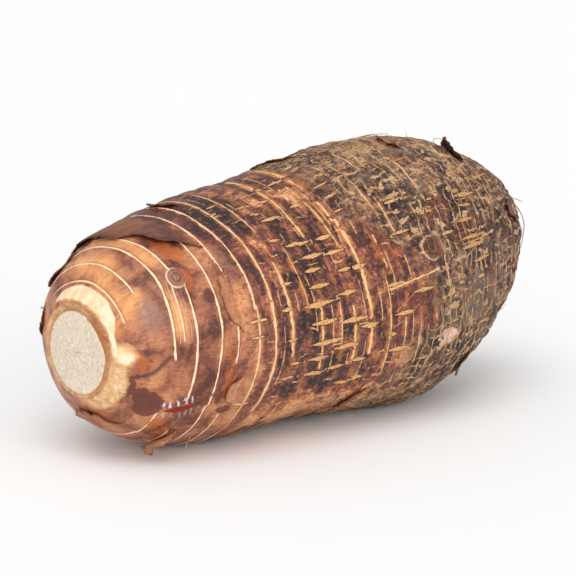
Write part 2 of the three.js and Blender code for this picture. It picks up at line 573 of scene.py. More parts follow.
# (along, round, length, width, height)
BUDS = (
    (24.4, 47, 6.6, 8, 0.35),
    (140.5, 68.5, 11, 9.5, 0.5),
    (120, 127.5, 6, 6, 0.4),
    (176.8, 24, 9, 9, 1.3),
    (157, 11.5, 8, 7, 0.9),
    (88.5, 205, 8, 7, 0.5),
    (50.6, 291, 8, 6.5, 0.5),
    (154.5, 318, 10, 8, 0.5),
    (131, 248, 9, 7, 0.4),
    (105, 285, 9, 7, 0.4),
)
bud_place = np.zeros(theta.shape + (3,))
for place, around, length, width, height in BUDS:
    u, v = brush(place, around, length, width)
    out = np.hypot(u, v)
    relief += height * np.clip(1 - out**2, 0, 1) + BUD_RIM * bell(out, 1, 0.18)
    near = np.clip((1.5 - out) / 0.35, 0, 1)
    here = near > 0
    bud_place[here] = np.stack([u, v, near], axis=-1)[here]

# %% [markdown]
# ### Corky splits
#
# As the corm fattened, its bark split lengthwise, and each split filled with tan cork. The splits are
# lens-shaped, a few millimetres to two centimetres long, and there are hundreds. The largest, on the
# camera's side, stand in ladders, one above the other, and the rest are strewn with a set distance
# between them. Each is sunk a little, and its place is kept for the material, which draws its
# outline.

# %% Splits
# (along, from, to, how many, length, width)
LADDERS = (
    (82, 47, 112, 9, 15, 2.2),
    (96, 57, 120, 7, 12, 2),
    (104, 68, 118, 3, 10, 2.2),
    (66, 66, 104, 4, 8, 1.6),
    (166, 50, 80, 6, 18, 1.9),
    (118, 80, 106, 3, 13, 1.9),
    (132, 43, 84, 4, 11, 1.6),
    (80, 20, 32, 2, 11, 1.6),
    (48, 78, 86, 2, 9, 1.4),
)
LADDER_STRAY = (4, 1.6)  # how far a split strays from its place, in mm and degrees
KEEP_CLEAR = (9, 4.4)  # no other split's middle is nearer than this, along and round, in mm
STREWN = 420
SPLITS_FROM, SPLITS_TO = 47, 205
SPLIT_DEPTH = 0.28


def laddered_splits():
    """Splits one above the other, like rungs, each a little off its place."""
    draw = np.random.default_rng(8)
    chosen = []
    for place, first, last, count, length, width in LADDERS:
        for around in np.linspace(first, last, count):
            ahead, sideways, grown = draw.uniform(-1, 1, 3)
            where = (place + LADDER_STRAY[0] * ahead, around + LADDER_STRAY[1] * sideways)
            chosen.append((*where, length * (1 + 0.4 * grown), width * (1 + 0.15 * grown)))
    return chosen


def strewn_splits(placed):
    """Random splits that stay clear of the placed ones and of each other."""
    taken = [(place, around) for place, around, _, _ in placed]
    taken += [(place, around) for place, around, *_ in BUDS]
    chosen = []
    for _ in range(STREWN):
        place = rng.uniform(SPLITS_FROM, SPLITS_TO)
        around = rng.uniform(-180, 180)
        long = rng.uniform(0, 1) ** 2
        dense = np.interp(place, (47, 70, 110, 150, 205), (0.35, 1, 0.9, 0.6, 0.3))
        if rng.uniform() > dense:
            continue
        side_mm = math.radians(1) * np.interp(place, (47, 110, 205), (43, 54, 40))
        clear = all(
            abs(place - p) > KEEP_CLEAR[0] * (0.7 + 0.5 * long)
            or abs((around - a + 180) % 360 - 180) * side_mm > KEEP_CLEAR[1]
            for p, a in taken
        )
        if clear:
            taken.append((place, around))
            chosen.append((place, around, 4 + 9 * long, 1.1 + 0.9 * rng.uniform()))
    return chosen


splits = laddered_splits()
splits += strewn_splits(splits)
split_place = np.zeros(theta.shape + (3,))
split_near = np.full(theta.shape, 9.0)
for place, around, length, width in splits:
    u, v = brush(place, around, length, width)
    beyond = np.maximum(np.abs(u) - 1, 0) * length / 2 + np.maximum(np.abs(v) - 1, 0) * width / 2
    here = (beyond < 1.8) & (beyond < split_near)
    split_near[here] = beyond[here]
    faded = np.clip((1.8 - beyond) / 0.9, 0, 1)
    split_place[here] = np.stack([u, v, faded], axis=-1)[here]
    relief -= SPLIT_DEPTH * np.clip(1 - u**2 - np.abs(v), 0, 1)
print(len(splits), "splits")

# %% [markdown]
# ### Old wounds
#
# Under the crown is a dry slit in a glossy, wrinkled patch, and beside it are rags of dark husk that
# stayed stuck to the skin. The slit is a brush stroke with a deep middle and two low lips. The rags
# and the other patches are soft brush strokes too, and the material later gives them torn outlines.

# %% The slit
SLIT = (22.7, 123.5, 13.5, 11, -22)  # along, round, length, width, turned by
slit_u, slit_v = brush(*SLIT)
slit_near = np.clip((1.35 - np.hypot(slit_u, slit_v)) / 0.3, 0, 1)
relief -= 0.8 * np.clip(1 - slit_u**2 - (slit_v / 0.16) ** 2, 0, 1)
relief += 0.3 * bell(np.abs(slit_v), 0.33, 0.14) * np.clip(1 - slit_u**2, 0, 1)


# %% Patches
def patches(*strokes):
    """The strongest of several brush strokes: strength, softness, and the brush's own numbers."""
    field = np.zeros(theta.shape)
    for strength, soft, *where in strokes:
        field = np.maximum(field, strength * inside(*brush(*where), soft=soft))
    return field


dark_husk = patches(
    (1, 0.25, 11, 124.5, 10.5, 13.5, 8),
    (1, 0.3, 8.2, 118, 7, 8, 20),
    (0.8, 0.5, 4.8, 116, 4.5, 13, 12),
    (0.9, 0.3, 27.5, 112, 4.5, 6),
    (1, 0.4, 32.7, 61.5, 4.5, 6.5),
    (0.9, 0.5, 36.6, 117, 3.6, 8),
    (0.9, 0.5, 41, 125.5, 9, 5),
    (0.8, 0.6, 154.5, 16, 6, 8),
)
relief += 0.3 * dark_husk
raw_orange = patches(
    (1, 0.7, 28.5, 31, 10, 24, -20),
    (0.8, 0.9, 28, 48, 8, 16),
    (0.9, 0.6, 17.2, 138, 9, 9),
    (0.8, 0.9, 38.5, 98, 8, 32),
    (0.6, 0.8, 40, 68, 8, 20),
    (0.7, 0.9, 7.4, 94, 7, 14),
    (0.8, 0.6, 152, 10, 8, 7),
)
pale_flesh = patches(
    (1.1, 1, 2.9, 87.5, 14.5, 13),
    (1, 0.8, 146.6, 108, 13, 10.5, 15),
)
pale_flesh = np.maximum(pale_flesh, np.maximum(crescent, 0.55 * soft_flesh))

# %% [markdown]
# A corm isn't one colour all over. Some stretches are nearly black, some are orange where a sheath
# came off lately, and some are red or grey. One long orange stroke on the lower side is painted light
# instead: it lightens the belly as if the table threw light up onto it. These moods are wide, soft
# strokes that the material adds to its own noise, so that they have no outline of their own. Two more
# fields say where the crown's smooth sheaths give way to bark plates, and where the plates give way to
# fibres.

# %% Moods
ORANGE_BAND = (17.5, 22.5)  # a bare stretch between two rings, in mm from the crown
# Each stroke is a strength, a softness, then along, round, length and width.
dark_mood = patches(
    (0.9, 0.9, 83, 55, 30, 24),
    (0.8, 0.8, 72, 86, 16, 22),
    (0.8, 0.8, 90, 108, 20, 14),
    (0.7, 0.8, 67, 118, 14, 12),
    (0.6, 0.8, 89, 122, 16, 10),
    (1.3, 0.8, 162, 56, 36, 26),
    (1.0, 0.8, 173, 76, 26, 30),
    (0.5, 0.8, 132, 56, 24, 26),
    (0.9, 0.8, 58, 16, 34, 50),
    (0.45, 0.8, 36, 85, 22, 60),
    (0.7, 0.8, 182, 26, 16, 14),
    (0.7, 0.8, 158, 120, 34, 24),
    (0.55, 0.8, 24, 142, 50, 42),
    (0.55, 0.9, 8.5, 92, 12, 20),
    (0.3, 0.8, 20, 50, 24, 30),
    (0.45, 0.7, 20.5, 96, 11, 26),
    (0.5, 0.8, 40, 104, 26, 40),
    (0.5, 0.8, 36, 0, 26, 26),
)
orange_and_belly_light = patches(
    (0.9, 0.6, 8, 10, 15, 70),
    (0.7, 0.5, 44, 66, 14, 16),
    (0.8, 0.7, 62, 44, 26, 14),
    (0.8, 0.7, 90, 20, 40, 20),
    (0.7, 0.7, 118, 40, 24, 16),
    # painted light: this long stroke lightens the lower side, as light thrown up from the table would
    (1.5, 0.8, 90, 138, 110, 34),
    (1.1, 0.8, 150, 4, 96, 56),
    (0.8, 0.7, 122, 112, 26, 16),
)
between = (places > ORANGE_BAND[0] * MM) & (places < ORANGE_BAND[1] * MM)
orange_band = blur(between * arc(30, 52, 4), 0.6, 1.2)
orange_and_belly_light = np.maximum(orange_and_belly_light, orange_band)
red_mood = patches(
    (1, 0.6, 152, 51, 14, 9),
    (1, 0.6, 167, 64, 12, 12),
    (0.8, 0.8, 118, 62, 24, 20),
    (0.8, 0.8, 124, 88, 30, 20),
    (0.7, 0.8, 118, 108, 24, 22),
    (1, 0.6, 140.5, 70, 6, 7),
    (0.8, 0.7, 176, 88, 12, 14),
)
grey_mood = patches(
    (0.9, 0.7, 11.5, 62, 11, 19),
    (0.7, 0.6, 44, 50, 7, 20),
    (0.9, 0.6, 146, 98, 16, 16),
    (0.8, 0.8, 172, 98, 56, 50),
    (0.6, 0.8, 150, 20, 50, 40),
    (0.6, 0.8, 112, 4, 20, 30),
)
middle_from = all_round((0, 34), (40, 43), (60, 46), (100, 50), (130, 48), (180, 42), (270, 36))
root_from = all_round(
    (0, 104), (30, 108), (50, 116), (70, 136), (95, 136), (115, 120), (135, 98), (180, 100), (270, 108)
)

# %% [markdown]
# ### From numbers to a shape
#
# The relief is added to the distances, and every vertex goes to its place. The cut face has no rays
# of its own: its rings are copies of the rim, each smaller than the last, and the disc of flesh
# inside them lies a little deeper. Nothing may reach below the table.

# %% Placing the vertices
FLESH_LOWER = 1.0  # how far the disc of flesh sits below the middle of the rim, in mm

skin = start + heading * (distance + relief * MM)[..., None]
spread = (GIRTH_RADIUS + row_places[on_cap]) / GIRTH_RADIUS
edge = skin[first_skin] - CROWN
skin[on_cap] = CROWN + spread[:, None, None] * edge[None]
flesh_spread = 1 - FLESH_FROM * MM / GIRTH_RADIUS
to_flesh = np.clip((1 - spread) / (1 - flesh_spread), 0, 1)
skin[on_cap, :, 2] -= FLESH_LOWER * MM * to_flesh[:, None]
cap_dip = rough(2, 3, 0.06)[on_cap] * MM * np.clip((1 - spread) / 0.1, 0, 1)[:, None]
cap_dip += 1.1 * MM * (to_flesh * (1 - to_flesh) * 4)[:, None] * arc(12, 80, 30)[on_cap]
cap_dip += 0.3 * MM * (to_flesh * (1 - to_flesh) * 4)[:, None]
skin[on_cap] += cap_dip[..., None] * AXIS
placed = np.zeros(flat.shape)
placed[grid] = skin
placed[crown_pole] = CROWN - np.array([0, 0, FLESH_LOWER * MM])
placed[root_pole] = skin[-1].mean(axis=0)
placed[:, 2] = np.maximum(placed[:, 2], 0)
corm.data.vertices.foreach_set("co", placed.ravel())
corm.data.update()
only(corm)
bpy.ops.object.mode_set(mode="EDIT")
bpy.ops.mesh.select_all(action="SELECT")
bpy.ops.mesh.normals_make_consistent(inside=False)
bpy.ops.object.mode_set(mode="OBJECT")
bpy.ops.object.shade_smooth()
print("the corm has", len(corm.data.polygons), "faces")

# %% [markdown]
# ### What the materials need to know
#
# A corm's patterns follow its growth, not space, so the mesh carries them as attributes: "grow" is
# a seamless place on the skin as if the corm were a straight roll, "scar" counts the scars, and
# "split", "bud" and "slit" hold the places inside those features. "paint" holds the patches.

# %% Attributes
ROLL_RADIUS = 0.05  # radius of the straight roll that "grow" is measured on


def store(name, kind, values, pole_values):
    """Writes rows and columns of numbers to the mesh as a named attribute."""
    width = values.shape[-1] if values.ndim == 3 else 1
    full = np.zeros((len(flat), width))
    full[grid] = values.reshape(theta.shape + (width,))
    full[crown_pole] = pole_values[0]
    full[root_pole] = pole_values[1]
    made = corm.data.attributes.new(name, kind, "POINT")
    made.data.foreach_set("value" if width == 1 else "vector", full.ravel())


roll = run_here * MM
SKIN_RUN = run[-1]  # how long the way over the skin is from the rim to the root end, in mm
grow = np.stack([roll, ROLL_RADIUS * np.cos(theta), ROLL_RADIUS * np.sin(theta)], axis=-1)
paint = np.stack([pale_flesh, dark_husk, raw_orange], axis=-1)
mood = np.stack([dark_mood - orange_and_belly_light, red_mood, grey_mood], axis=-1)
# the third channel of zone carries the painted shadow of the torn step
zone = np.stack([along / MM - middle_from, along / MM - root_from, step_shadow], axis=-1)
drawn = np.clip((arc(62, 92, 10) * np.clip((118 - along / MM) / 8, 0, 1)), 0, 1)
drawn = np.maximum(drawn, np.clip((40 - along / MM) / 3, 0, 1))
slit_place = np.stack([slit_u, slit_v, slit_near], axis=-1)
store("grow", "FLOAT_VECTOR", grow, ((roll.min(), 0, 0), (roll.max(), 0, 0)))
store("line", "FLOAT_VECTOR", line_place, (0, 0))
store("mood", "FLOAT_VECTOR", mood, (0, 0))
store("zone", "FLOAT_VECTOR", zone, ((-40, -110, 0), (180, 110, 0)))
store("drawn", "FLOAT", drawn, (1, 0))
store("scar", "FLOAT", scar_count, (0, len(scars) + 1))
store("split", "FLOAT_VECTOR", split_place, (0, 0))
store("bud", "FLOAT_VECTOR", bud_place, (0, 0))
store("slit", "FLOAT_VECTOR", slit_place, (0, 0))
store("paint", "FLOAT_VECTOR", paint, (0, 0))
store("along", "FLOAT", along, (0, LENGTH))

# %% [markdown]
# ## Materials
#
# Every finish here is worked out from the attributes, so there is nothing to paint by hand. A
# small helper keeps the node trees readable: each of its calls adds one node, takes numbers or
# other nodes' outputs, and returns the new node's output.


# %% A helper for node trees
class Wires:
    def __init__(self, tree):
        self.tree = tree

    def put(self, socket, value):
        if isinstance(value, bpy.types.NodeSocket):
            self.tree.links.new(value, socket)
        elif value is not None:
            socket.default_value = value

    def add(self, kind, values, out=0, **settings):
        node = self.tree.nodes.new(kind)
        for name, setting in settings.items():
            setattr(node, name, setting)
        for key, value in values.items():
            self.put(node.inputs[key], value)
        return node.outputs[out]

    def math(self, operation, a, b=None, clamp=False):
        values = {0: a} if b is None else {0: a, 1: b}
        return self.add("ShaderNodeMath", values, operation=operation, use_clamp=clamp)

    def attribute(self, name, out="Vector"):
        return self.add("ShaderNodeAttribute", {}, out, attribute_name=name)

    def stretch(self, vector, factors):
        values = {0: vector, 1: factors}
        return self.add("ShaderNodeVectorMath", values, operation="MULTIPLY")

    def split(self, vector):
        node = self.tree.nodes.new("ShaderNodeSeparateXYZ")
        self.put(node.inputs[0], vector)
        return node.outputs

    def join(self, x, y, z):
        return self.add("ShaderNodeCombineXYZ", {0: x, 1: y, 2: z})

    def noise(self, vector, scale, detail=2, roughness=0.5, warp=0):
        values = {"Vector": vector, "Scale": scale, "Detail": detail}
        values.update({"Roughness": roughness, "Distortion": warp})
        return self.add("ShaderNodeTexNoise", values)

    def ease(self, value, low, high, start=0, end=1):
        """Runs smoothly from start to end as the value runs from low to high."""
        values = {"Value": value, "From Min": low, "From Max": high}
        values.update({"To Min": start, "To Max": end})
        return self.add("ShaderNodeMapRange", values, interpolation_type="SMOOTHSTEP")

    def line(self, distance, width, soft=0.15):
        """1 on a line of that width, in the distance's own unit."""
        beyond = self.math("SUBTRACT", distance, self.math("MULTIPLY", width, 0.5))
        return self.ease(beyond, 0, soft, 1, 0)

    def ramp(self, value, *stops):
        """A colour for each value. Each stop is a place and a colour."""
        node = self.tree.nodes.new("ShaderNodeValToRGB")
        elements = node.color_ramp.elements
        while len(elements) < len(stops):
            elements.new(0.5)
        for element, (place, colour) in zip(elements, stops):
            element.position = place
            element.color = (*colour, 1)
        self.put(node.inputs[0], value)
        return node.outputs[0]

    def mix(self, share, under, over, blend="MIX"):
        node = self.tree.nodes.new("ShaderNodeMix")
        node.data_type = "RGBA"
        node.blend_type = blend
        for key, value in (("Factor_Float", share), ("A_Color", under), ("B_Color", over)):
            socket = next(s for s in node.inputs if s.identifier == key)
            self.put(socket, (*value, 1) if isinstance(value, tuple) else value)
        return next(s for s in node.outputs if s.identifier == "Result_Color")

    def fade(self, share, under, over):
        """The same as mix, for numbers."""
        node = self.tree.nodes.new("ShaderNodeMix")
        for key, value in (("Factor_Float", share), ("A_Float", under), ("B_Float", over)):
            self.put(next(s for s in node.inputs if s.identifier == key), value)
        return next(s for s in node.outputs if s.identifier == "Result_Float")

    def total(self, *values):
        result = values[0]
        for value in values[1:]:
            result = self.math("ADD", result, value)
        return result

    def times(self, *values):
        result = values[0]
        for value in values[1:]:
            result = self.math("MULTIPLY", result, value)
        return result


def srgb(red, green, blue):
    """A colour as a paint chart gives it, 0 to 255, turned into the light that Blender mixes."""
    parts = (c / 255 for c in (red, green, blue))
    return tuple(p / 12.92 if p <= 0.04045 else ((p + 0.055) / 1.055) ** 2.4 for p in parts)


# %% [markdown]
# ### Effects that several finishes share
#
# Sheath grain is the fine streaking of anything that was once a leaf base. Dust is the dry soil
# that stays on a washed corm, caught where the surface is rough. Both are node groups, so skin,
# husk and fibres can each use them with their own values.


# %% Node groups
def new_group(name, inputs, outputs):
    """An empty node group with named sockets, and its wires, inputs and output node."""
    tree = bpy.data.node_groups.new(name, "ShaderNodeTree")
    for label, kind in inputs:
        tree.interface.new_socket(label, in_out="INPUT", socket_type=kind)
    for label, kind in outputs:
        tree.interface.new_socket(label, in_out="OUTPUT", socket_type=kind)
    source = tree.nodes.new("NodeGroupInput").outputs
    target = tree.nodes.new("NodeGroupOutput").inputs
    return tree, Wires(tree), source, target


def use_group(wires, tree, values):
    """Places a group in a tree and returns its outputs."""
    node = wires.tree.nodes.new("ShaderNodeGroup")
    node.node_tree = tree
    for key, value in values.items():
        wires.put(node.inputs[key], value)
    return node.outputs


VECTOR, FLOAT = "NodeSocketVector", "NodeSocketFloat"

grain_group, g, source, target = new_group(
    "sheath_grain",
    [("Place", VECTOR)],
    [("Streaks", FLOAT), ("Blotches", FLOAT), ("Specks", FLOAT)],
)
fine = g.stretch(source["Place"], (55, 1150, 1150))
g.put(target["Streaks"], g.noise(fine, 1, 3, 0.6, 0.3))
g.put(target["Blotches"], g.noise(g.stretch(source["Place"], (75, 42, 42)), 1, 4, 0.6, 0.8))
g.put(target["Specks"], g.noise(source["Place"], 650, 3, 0.65))

dust_group, g, source, target = new_group(
    "dust",
    [("Place", VECTOR), ("Amount", FLOAT)],
    [("Dusty", FLOAT)],
)
clouds = g.noise(source["Place"], 70, 5, 0.62, 0.4)
grit = g.noise(source["Place"], 1400, 2, 0.6)
level = g.total(g.times(clouds, 0.7), g.times(grit, 0.3), source["Amount"])
g.put(target["Dusty"], g.ease(level, 0.93, 1.18))
print("node groups:", [tree.name for tree in bpy.data.node_groups])

# %% [markdown]
# ### The skin
#
# The skin is one material, because it is one skin, but it changes from the crown to the root end:
# smooth, glossy sheath bases in orange and pink browns, then dark bark plates between pale lines,
# and then dull, fibrous bark. Each zone is worked out in a function of its own and gives a colour,
# a height in millimetres and a roughness.

# %% Colours of the skin
CREAM_LINE = srgb(244, 208, 168)
TAN_LINE = srgb(230, 178, 122)
CORK = srgb(224, 174, 118)
FIBRE_TAN = srgb(220, 182, 138)
PALE_FLESH = srgb(248, 226, 194)


class Skin:
    """The readings that every zone of the skin shares."""

    def __init__(self, w):
        self.grow = w.attribute("grow")
        ahead, across, up = w.split(self.grow)
        self.along = w.times(w.attribute("along", "Fac"), 1000)
        self.arc = w.times(w.math("ARCTAN2", up, across), ROLL_RADIUS * 1000)
        self.place = w.add("ShaderNodeTexCoord", {}, "Object")
        self.ragged = w.math("SUBTRACT", w.noise(self.place, 430, 4, 0.65), 0.5)
        self.sway = w.math("SUBTRACT", w.noise(self.place, 60, 2), 0.5)
        scar = w.attribute("scar", "Fac")
        self.scar = w.total(scar, w.times(self.ragged, 0.07), w.times(self.sway, 0.05))
        self.around = w.join(0, across, up)
        self.up = up
        self.run = w.times(ahead, 1000)  # how far over the skin from the rim, in mm
        # dark is the dark mood less the orange one, so it also carries the painted light on the lower
        # side
        self.dark, self.red, self.grey = w.split(w.attribute("mood"))

    def ring(self, w, count):
        """Where this is, in rings, with so many to a band, then the nearest one and the mm to it."""
        value = w.times(self.scar, count)
        nearest = w.math("ROUND", value)
        away = w.math("ABSOLUTE", w.math("SUBTRACT", value, nearest))
        return value, nearest, w.times(away, SCAR_SPACING / count)

    def chance(self, w, row, size):
        """Noise that runs round the corm and is different for each row. Size in mm."""
        offset = w.join(w.times(row, 7.31), 0, 0)
        place = w.add(
            "ShaderNodeVectorMath",
            {0: w.stretch(self.around, (0, 1000 / size, 1000 / size)), 1: offset},
            operation="ADD",
        )
        return w.noise(place, 1, 2, 0.5)


class Look:
    """What a finish is so far: its colour, its height in millimetres and its roughness."""

    def __init__(self, colour, height, rough):
        self.colour = colour
        self.height = height
        self.rough = rough

    def paint(self, w, share, colour, blend="MIX"):
        self.colour = w.mix(share, self.colour, colour, blend)

    def raise_by(self, w, *heights):
        self.height = w.total(self.height, *heights)

    def roughen(self, w, share, rough):
        self.rough = w.fade(share, self.rough, rough)


def off_middle(w, value, factor):
    """How far a noise is from its middle value, times a factor."""
    return w.times(w.math("SUBTRACT", value, 0.5), factor)


def finish_shader(w, shader, look, specular):
    """Wires a finished look into a Principled shader. Its height becomes a bump, in mm."""
    w.put(shader.inputs["Base Color"], look.colour)
    w.put(shader.inputs["Roughness"], look.rough)
    shader.inputs["Specular IOR Level"].default_value = specular
    bump = w.add("ShaderNodeBump", {"Strength": 1, "Distance": MM, "Height": look.height})
    w.put(shader.inputs["Normal"], bump)


def shaded(w, colour, *changes):
    """The colour made lighter or darker by the sum of the changes."""
    shade = w.total(1, *changes)
    return w.mix(1, colour, w.join(shade, shade, shade), "MULTIPLY")

# %% [markdown]
# Near the crown the sheath bases are still smooth, and each band has a tint of its own. Streaks along
# the corm shade them, with a fine hatch of veins, and a grey bloom lies here and there.

# %% Crown: smooth sheath bases
def crown_zone(w, skin, grain):
    band = w.math("FLOOR", skin.scar)
    tint = w.add("ShaderNodeTexWhiteNoise", {"W": band}, noise_dimensions="1D")
    tone = w.total(
        0.34,
        off_middle(w, grain["Blotches"], 1.8),
        off_middle(w, tint, 0.14),
        off_middle(w, grain["Specks"], 0.5),
        w.times(skin.dark, -0.34),
        w.ease(skin.along, 2, 16, 0.1, 0),
    )
    colour = w.ramp(
        tone,
        (0.0, srgb(82, 42, 32)),
        (0.2, srgb(128, 74, 54)),
        (0.4, srgb(172, 110, 78)),
        (0.6, srgb(200, 136, 92)),
        (0.8, srgb(220, 152, 96)),
        (1.0, srgb(236, 178, 116)),
    )
    speckled = w.times(skin.grey, w.ease(w.noise(skin.place, 420, 3, 0.7), 0.4, 0.6, 0.3, 1))
    colour = w.mix(speckled, colour, srgb(142, 108, 98))
    hatch = w.noise(w.stretch(skin.grow, (60, 2200, 2200)), 1, 2, 0.5)
    colour = shaded(w, colour, off_middle(w, grain["Streaks"], 0.55), off_middle(w, hatch, 0.6))
    height = w.total(w.times(grain["Streaks"], 0.12), w.times(hatch, 0.1))
    return Look(colour, height, w.ease(grain["Specks"], 0.3, 0.7, 0.3, 0.5))


# %% [markdown]
# In the middle the bark has broken into plates. Each band between two scars holds two rows of them,
# and a one-dimensional Voronoi texture splits a row into plates of uneven length. Its cells give each
# plate a tone of its own, and the distance to a cell's edge gives the cracks between them.

# %% Middle: bark plates in rows
def middle_zone(w, skin, grain):
    value, nearest, away = skin.ring(w, 2)
    row = w.math("FLOOR", value)
    column = w.total(
        w.times(skin.arc, 1 / 8),
        w.times(row, 31.7),
        w.times(skin.ragged, 0.5),
        w.times(skin.sway, 0.8),
    )
    cells = {"W": column, "Scale": 1}
    plate = w.add("ShaderNodeTexVoronoi", cells, "Color", voronoi_dimensions="1D")
    plate = w.split(plate)[0]
    torn = w.ease(skin.along, 44, 66)  # the first plates are still whole and smooth
    tone = w.total(
        0.46,
        w.times(off_middle(w, plate, 0.5), torn),
        w.times(off_middle(w, w.noise(skin.place, 260, 4, 0.7), 1.7), torn),
        off_middle(w, grain["Blotches"], 1.0),
        off_middle(w, grain["Specks"], 0.9),
        w.times(skin.dark, -0.42),
        w.times(torn, -0.06),
    )
    colour = w.ramp(
        tone,
        (0.0, srgb(38, 26, 27)),
        (0.24, srgb(66, 38, 38)),
        (0.44, srgb(102, 55, 48)),
        (0.64, srgb(134, 78, 60)),
        (0.82, srgb(180, 114, 76)),
        (1.0, srgb(220, 160, 112)),
    )
    colour = w.mix(w.times(skin.red, 0.5), colour, srgb(128, 52, 38))
    colour = w.mix(w.times(skin.grey, 0.6), colour, srgb(116, 96, 86))
    colour = shaded(w, colour, off_middle(w, grain["Streaks"], 0.7))
    gap = w.add(
        "ShaderNodeTexVoronoi",
        cells,
        "Distance",
        voronoi_dimensions="1D",
        feature="DISTANCE_TO_EDGE",
    )
    present = w.times(w.ease(skin.chance(w, row, 9), 0.55, 0.62), torn)
    across_row = w.math("PINGPONG", value, 0.5)
    width = w.times(w.total(0.25, across_row), 1.2, present)
    crack = w.line(w.times(gap, 8), width, 0.15)
    crack = w.times(crack, w.ease(present, 0.1, 0.5))
    halfway = w.math("FLOORED_MODULO", nearest, 2)  # 1 on the rings between two scars
    minor = w.times(w.ease(skin.chance(w, nearest, 11), 0.54, 0.6), halfway, torn)
    thin = w.ease(skin.chance(w, nearest, 6), 0.3, 0.7, 0.2, 0.6)
    ring = w.times(w.line(away, w.times(thin, minor), 0.14), minor)
    lines = w.math("MAXIMUM", crack, ring)
    colour = w.mix(w.times(lines, 0.65), colour, TAN_LINE)
    edge = w.math("MINIMUM", w.times(gap, 8), away)
    plates = w.times(w.ease(edge, 0.1, 1.3, -0.16, 0.1), torn)
    height = w.total(plates, w.times(grain["Specks"], 0.3), w.times(grain["Streaks"], 0.12))
    rough = w.total(w.ease(grain["Specks"], 0.3, 0.7, 0.34, 0.6), w.times(lines, 0.3))
    return Look(colour, height, rough)


# %% [markdown]
# Towards the root end the bark is a dull mat of fibres and wrinkles. Two sets of ripples cross each
# other, one along the corm and one round it. Noise bends them and thins them away in places, tufts
# lie between them, and each cell of their net has a tone of its own.

# %% Root end: fibrous bark
def ripple(w, phase, width):
    """A line wherever the phase passes a whole number. The width is a share of the spacing."""
    away = w.math("ABSOLUTE", w.math("SUBTRACT", phase, w.math("ROUND", phase)))
    return w.ease(w.math("SUBTRACT", away, w.times(width, 0.5)), 0, 0.07, 1, 0)


def root_zone(w, skin, grain):
    bend = off_middle(w, w.noise(skin.place, 95, 3, 0.6), 1)
    finer = off_middle(w, w.noise(skin.place, 300, 3, 0.65), 1)
    round_count = w.total(w.times(skin.arc, 1 / 5.2), w.times(bend, 2.6), w.times(finer, 1.1))
    along_count = w.total(w.times(skin.scar, 2), w.times(bend, -1.1), w.times(finer, 0.7))
    corner = w.join(w.math("ROUND", round_count), w.math("ROUND", along_count), 0)
    cell = w.add("ShaderNodeTexWhiteNoise", {"Vector": corner}, noise_dimensions="3D")
    tone = w.total(
        0.3,
        off_middle(w, cell, 0.34),
        off_middle(w, grain["Blotches"], 1.3),
        off_middle(w, w.noise(skin.place, 200, 4, 0.7), 1.9),
        off_middle(w, grain["Specks"], 1.6),
        w.times(skin.dark, -0.36),
    )
    colour = w.ramp(
        tone,
        (0.0, srgb(32, 26, 26)),
        (0.2, srgb(58, 45, 41)),
        (0.4, srgb(100, 76, 62)),
        (0.6, srgb(148, 110, 82)),
        (0.85, srgb(200, 156, 114)),
    )
    reddish = w.total(w.noise(skin.place, 60, 3, 0.6), w.times(skin.red, 0.3))
    reddish = w.times(w.ease(reddish, 0.52, 0.64), w.ease(grain["Specks"], 0.4, 0.6, 0.5, 1))
    colour = w.mix(w.times(reddish, w.ease(cell, 0.1, 0.6, 0.2, 0.7)), colour, srgb(112, 50, 34))
    greyish = w.total(w.noise(skin.place, 90, 3, 0.6), w.times(skin.grey, 0.2))
    greyish = w.ease(greyish, 0.54, 0.7)
    colour = w.mix(w.times(greyish, 0.5), colour, srgb(112, 103, 91))
    thick = w.ease(w.noise(skin.place, 170, 3), 0.4, 0.64, 0, 0.23)
    strong = w.total(1, w.times(skin.dark, 0.6))
    lengthwise = w.times(ripple(w, round_count, w.times(thick, strong)), w.ease(thick, 0.01, 0.08))
    thin = w.ease(w.noise(skin.place, 140, 3), 0.43, 0.6, 0, 0.18)
    ringwise = w.times(ripple(w, along_count, thin), w.ease(thin, 0.01, 0.06))
    tuft = w.noise(w.stretch(skin.grow, (260, 1100, 1100)), 1, 3, 0.6)
    tuft = w.ease(tuft, 0.61, 0.7)
    cross = w.ease(w.noise(w.stretch(skin.grow, (1300, 260, 260)), 1, 3, 0.6), 0.63, 0.72)
    fibres = w.math("MAXIMUM", lengthwise, w.times(ringwise, 0.85))
    fibres = w.math("MAXIMUM", fibres, w.times(w.math("MAXIMUM", tuft, cross), 0.6))
    fibre_tint = w.mix(w.noise(skin.place, 260, 2), srgb(160, 114, 80), FIBRE_TAN)
    colour = w.mix(w.times(fibres, 0.92), colour, fibre_tint)
    height = w.total(w.times(fibres, 0.45), w.times(grain["Specks"], 0.6))
    return Look(colour, height, w.ease(grain["Specks"], 0.3, 0.7, 0.6, 0.85))


# %% [markdown]
# ### From zone to zone
#
# The three zones are mixed by how far the skin is past each border. Noise is added to that distance,
# so a border runs in tongues and islands instead of a straight ring. Fine grit goes over all of them:
# it darkens, rusts and dirties the skin in specks that are finer than any plate.

# %% Mixing the zones
def mixed_zones(w, skin, grain):
    """The look of the bare skin, and how far the root zone has taken over."""
    crown = crown_zone(w, skin, grain)
    middle = middle_zone(w, skin, grain)
    root = root_zone(w, skin, grain)
    into_middle, into_root, _ = w.split(w.attribute("zone"))
    drift = w.noise(skin.grow, 45, 4, 0.65)
    to_middle = w.ease(w.total(into_middle, off_middle(w, drift, 26)), -2, 3)
    border = w.total(into_root, off_middle(w, drift, 70), w.times(skin.ragged, 16))
    to_root = w.ease(border, -12, 13)
    look = Look(
        w.mix(to_root, w.mix(to_middle, crown.colour, middle.colour), root.colour),
        w.fade(to_root, w.fade(to_middle, crown.height, middle.height), root.height),
        w.fade(to_root, w.fade(to_middle, crown.rough, middle.rough), root.rough),
    )
    return look, to_root


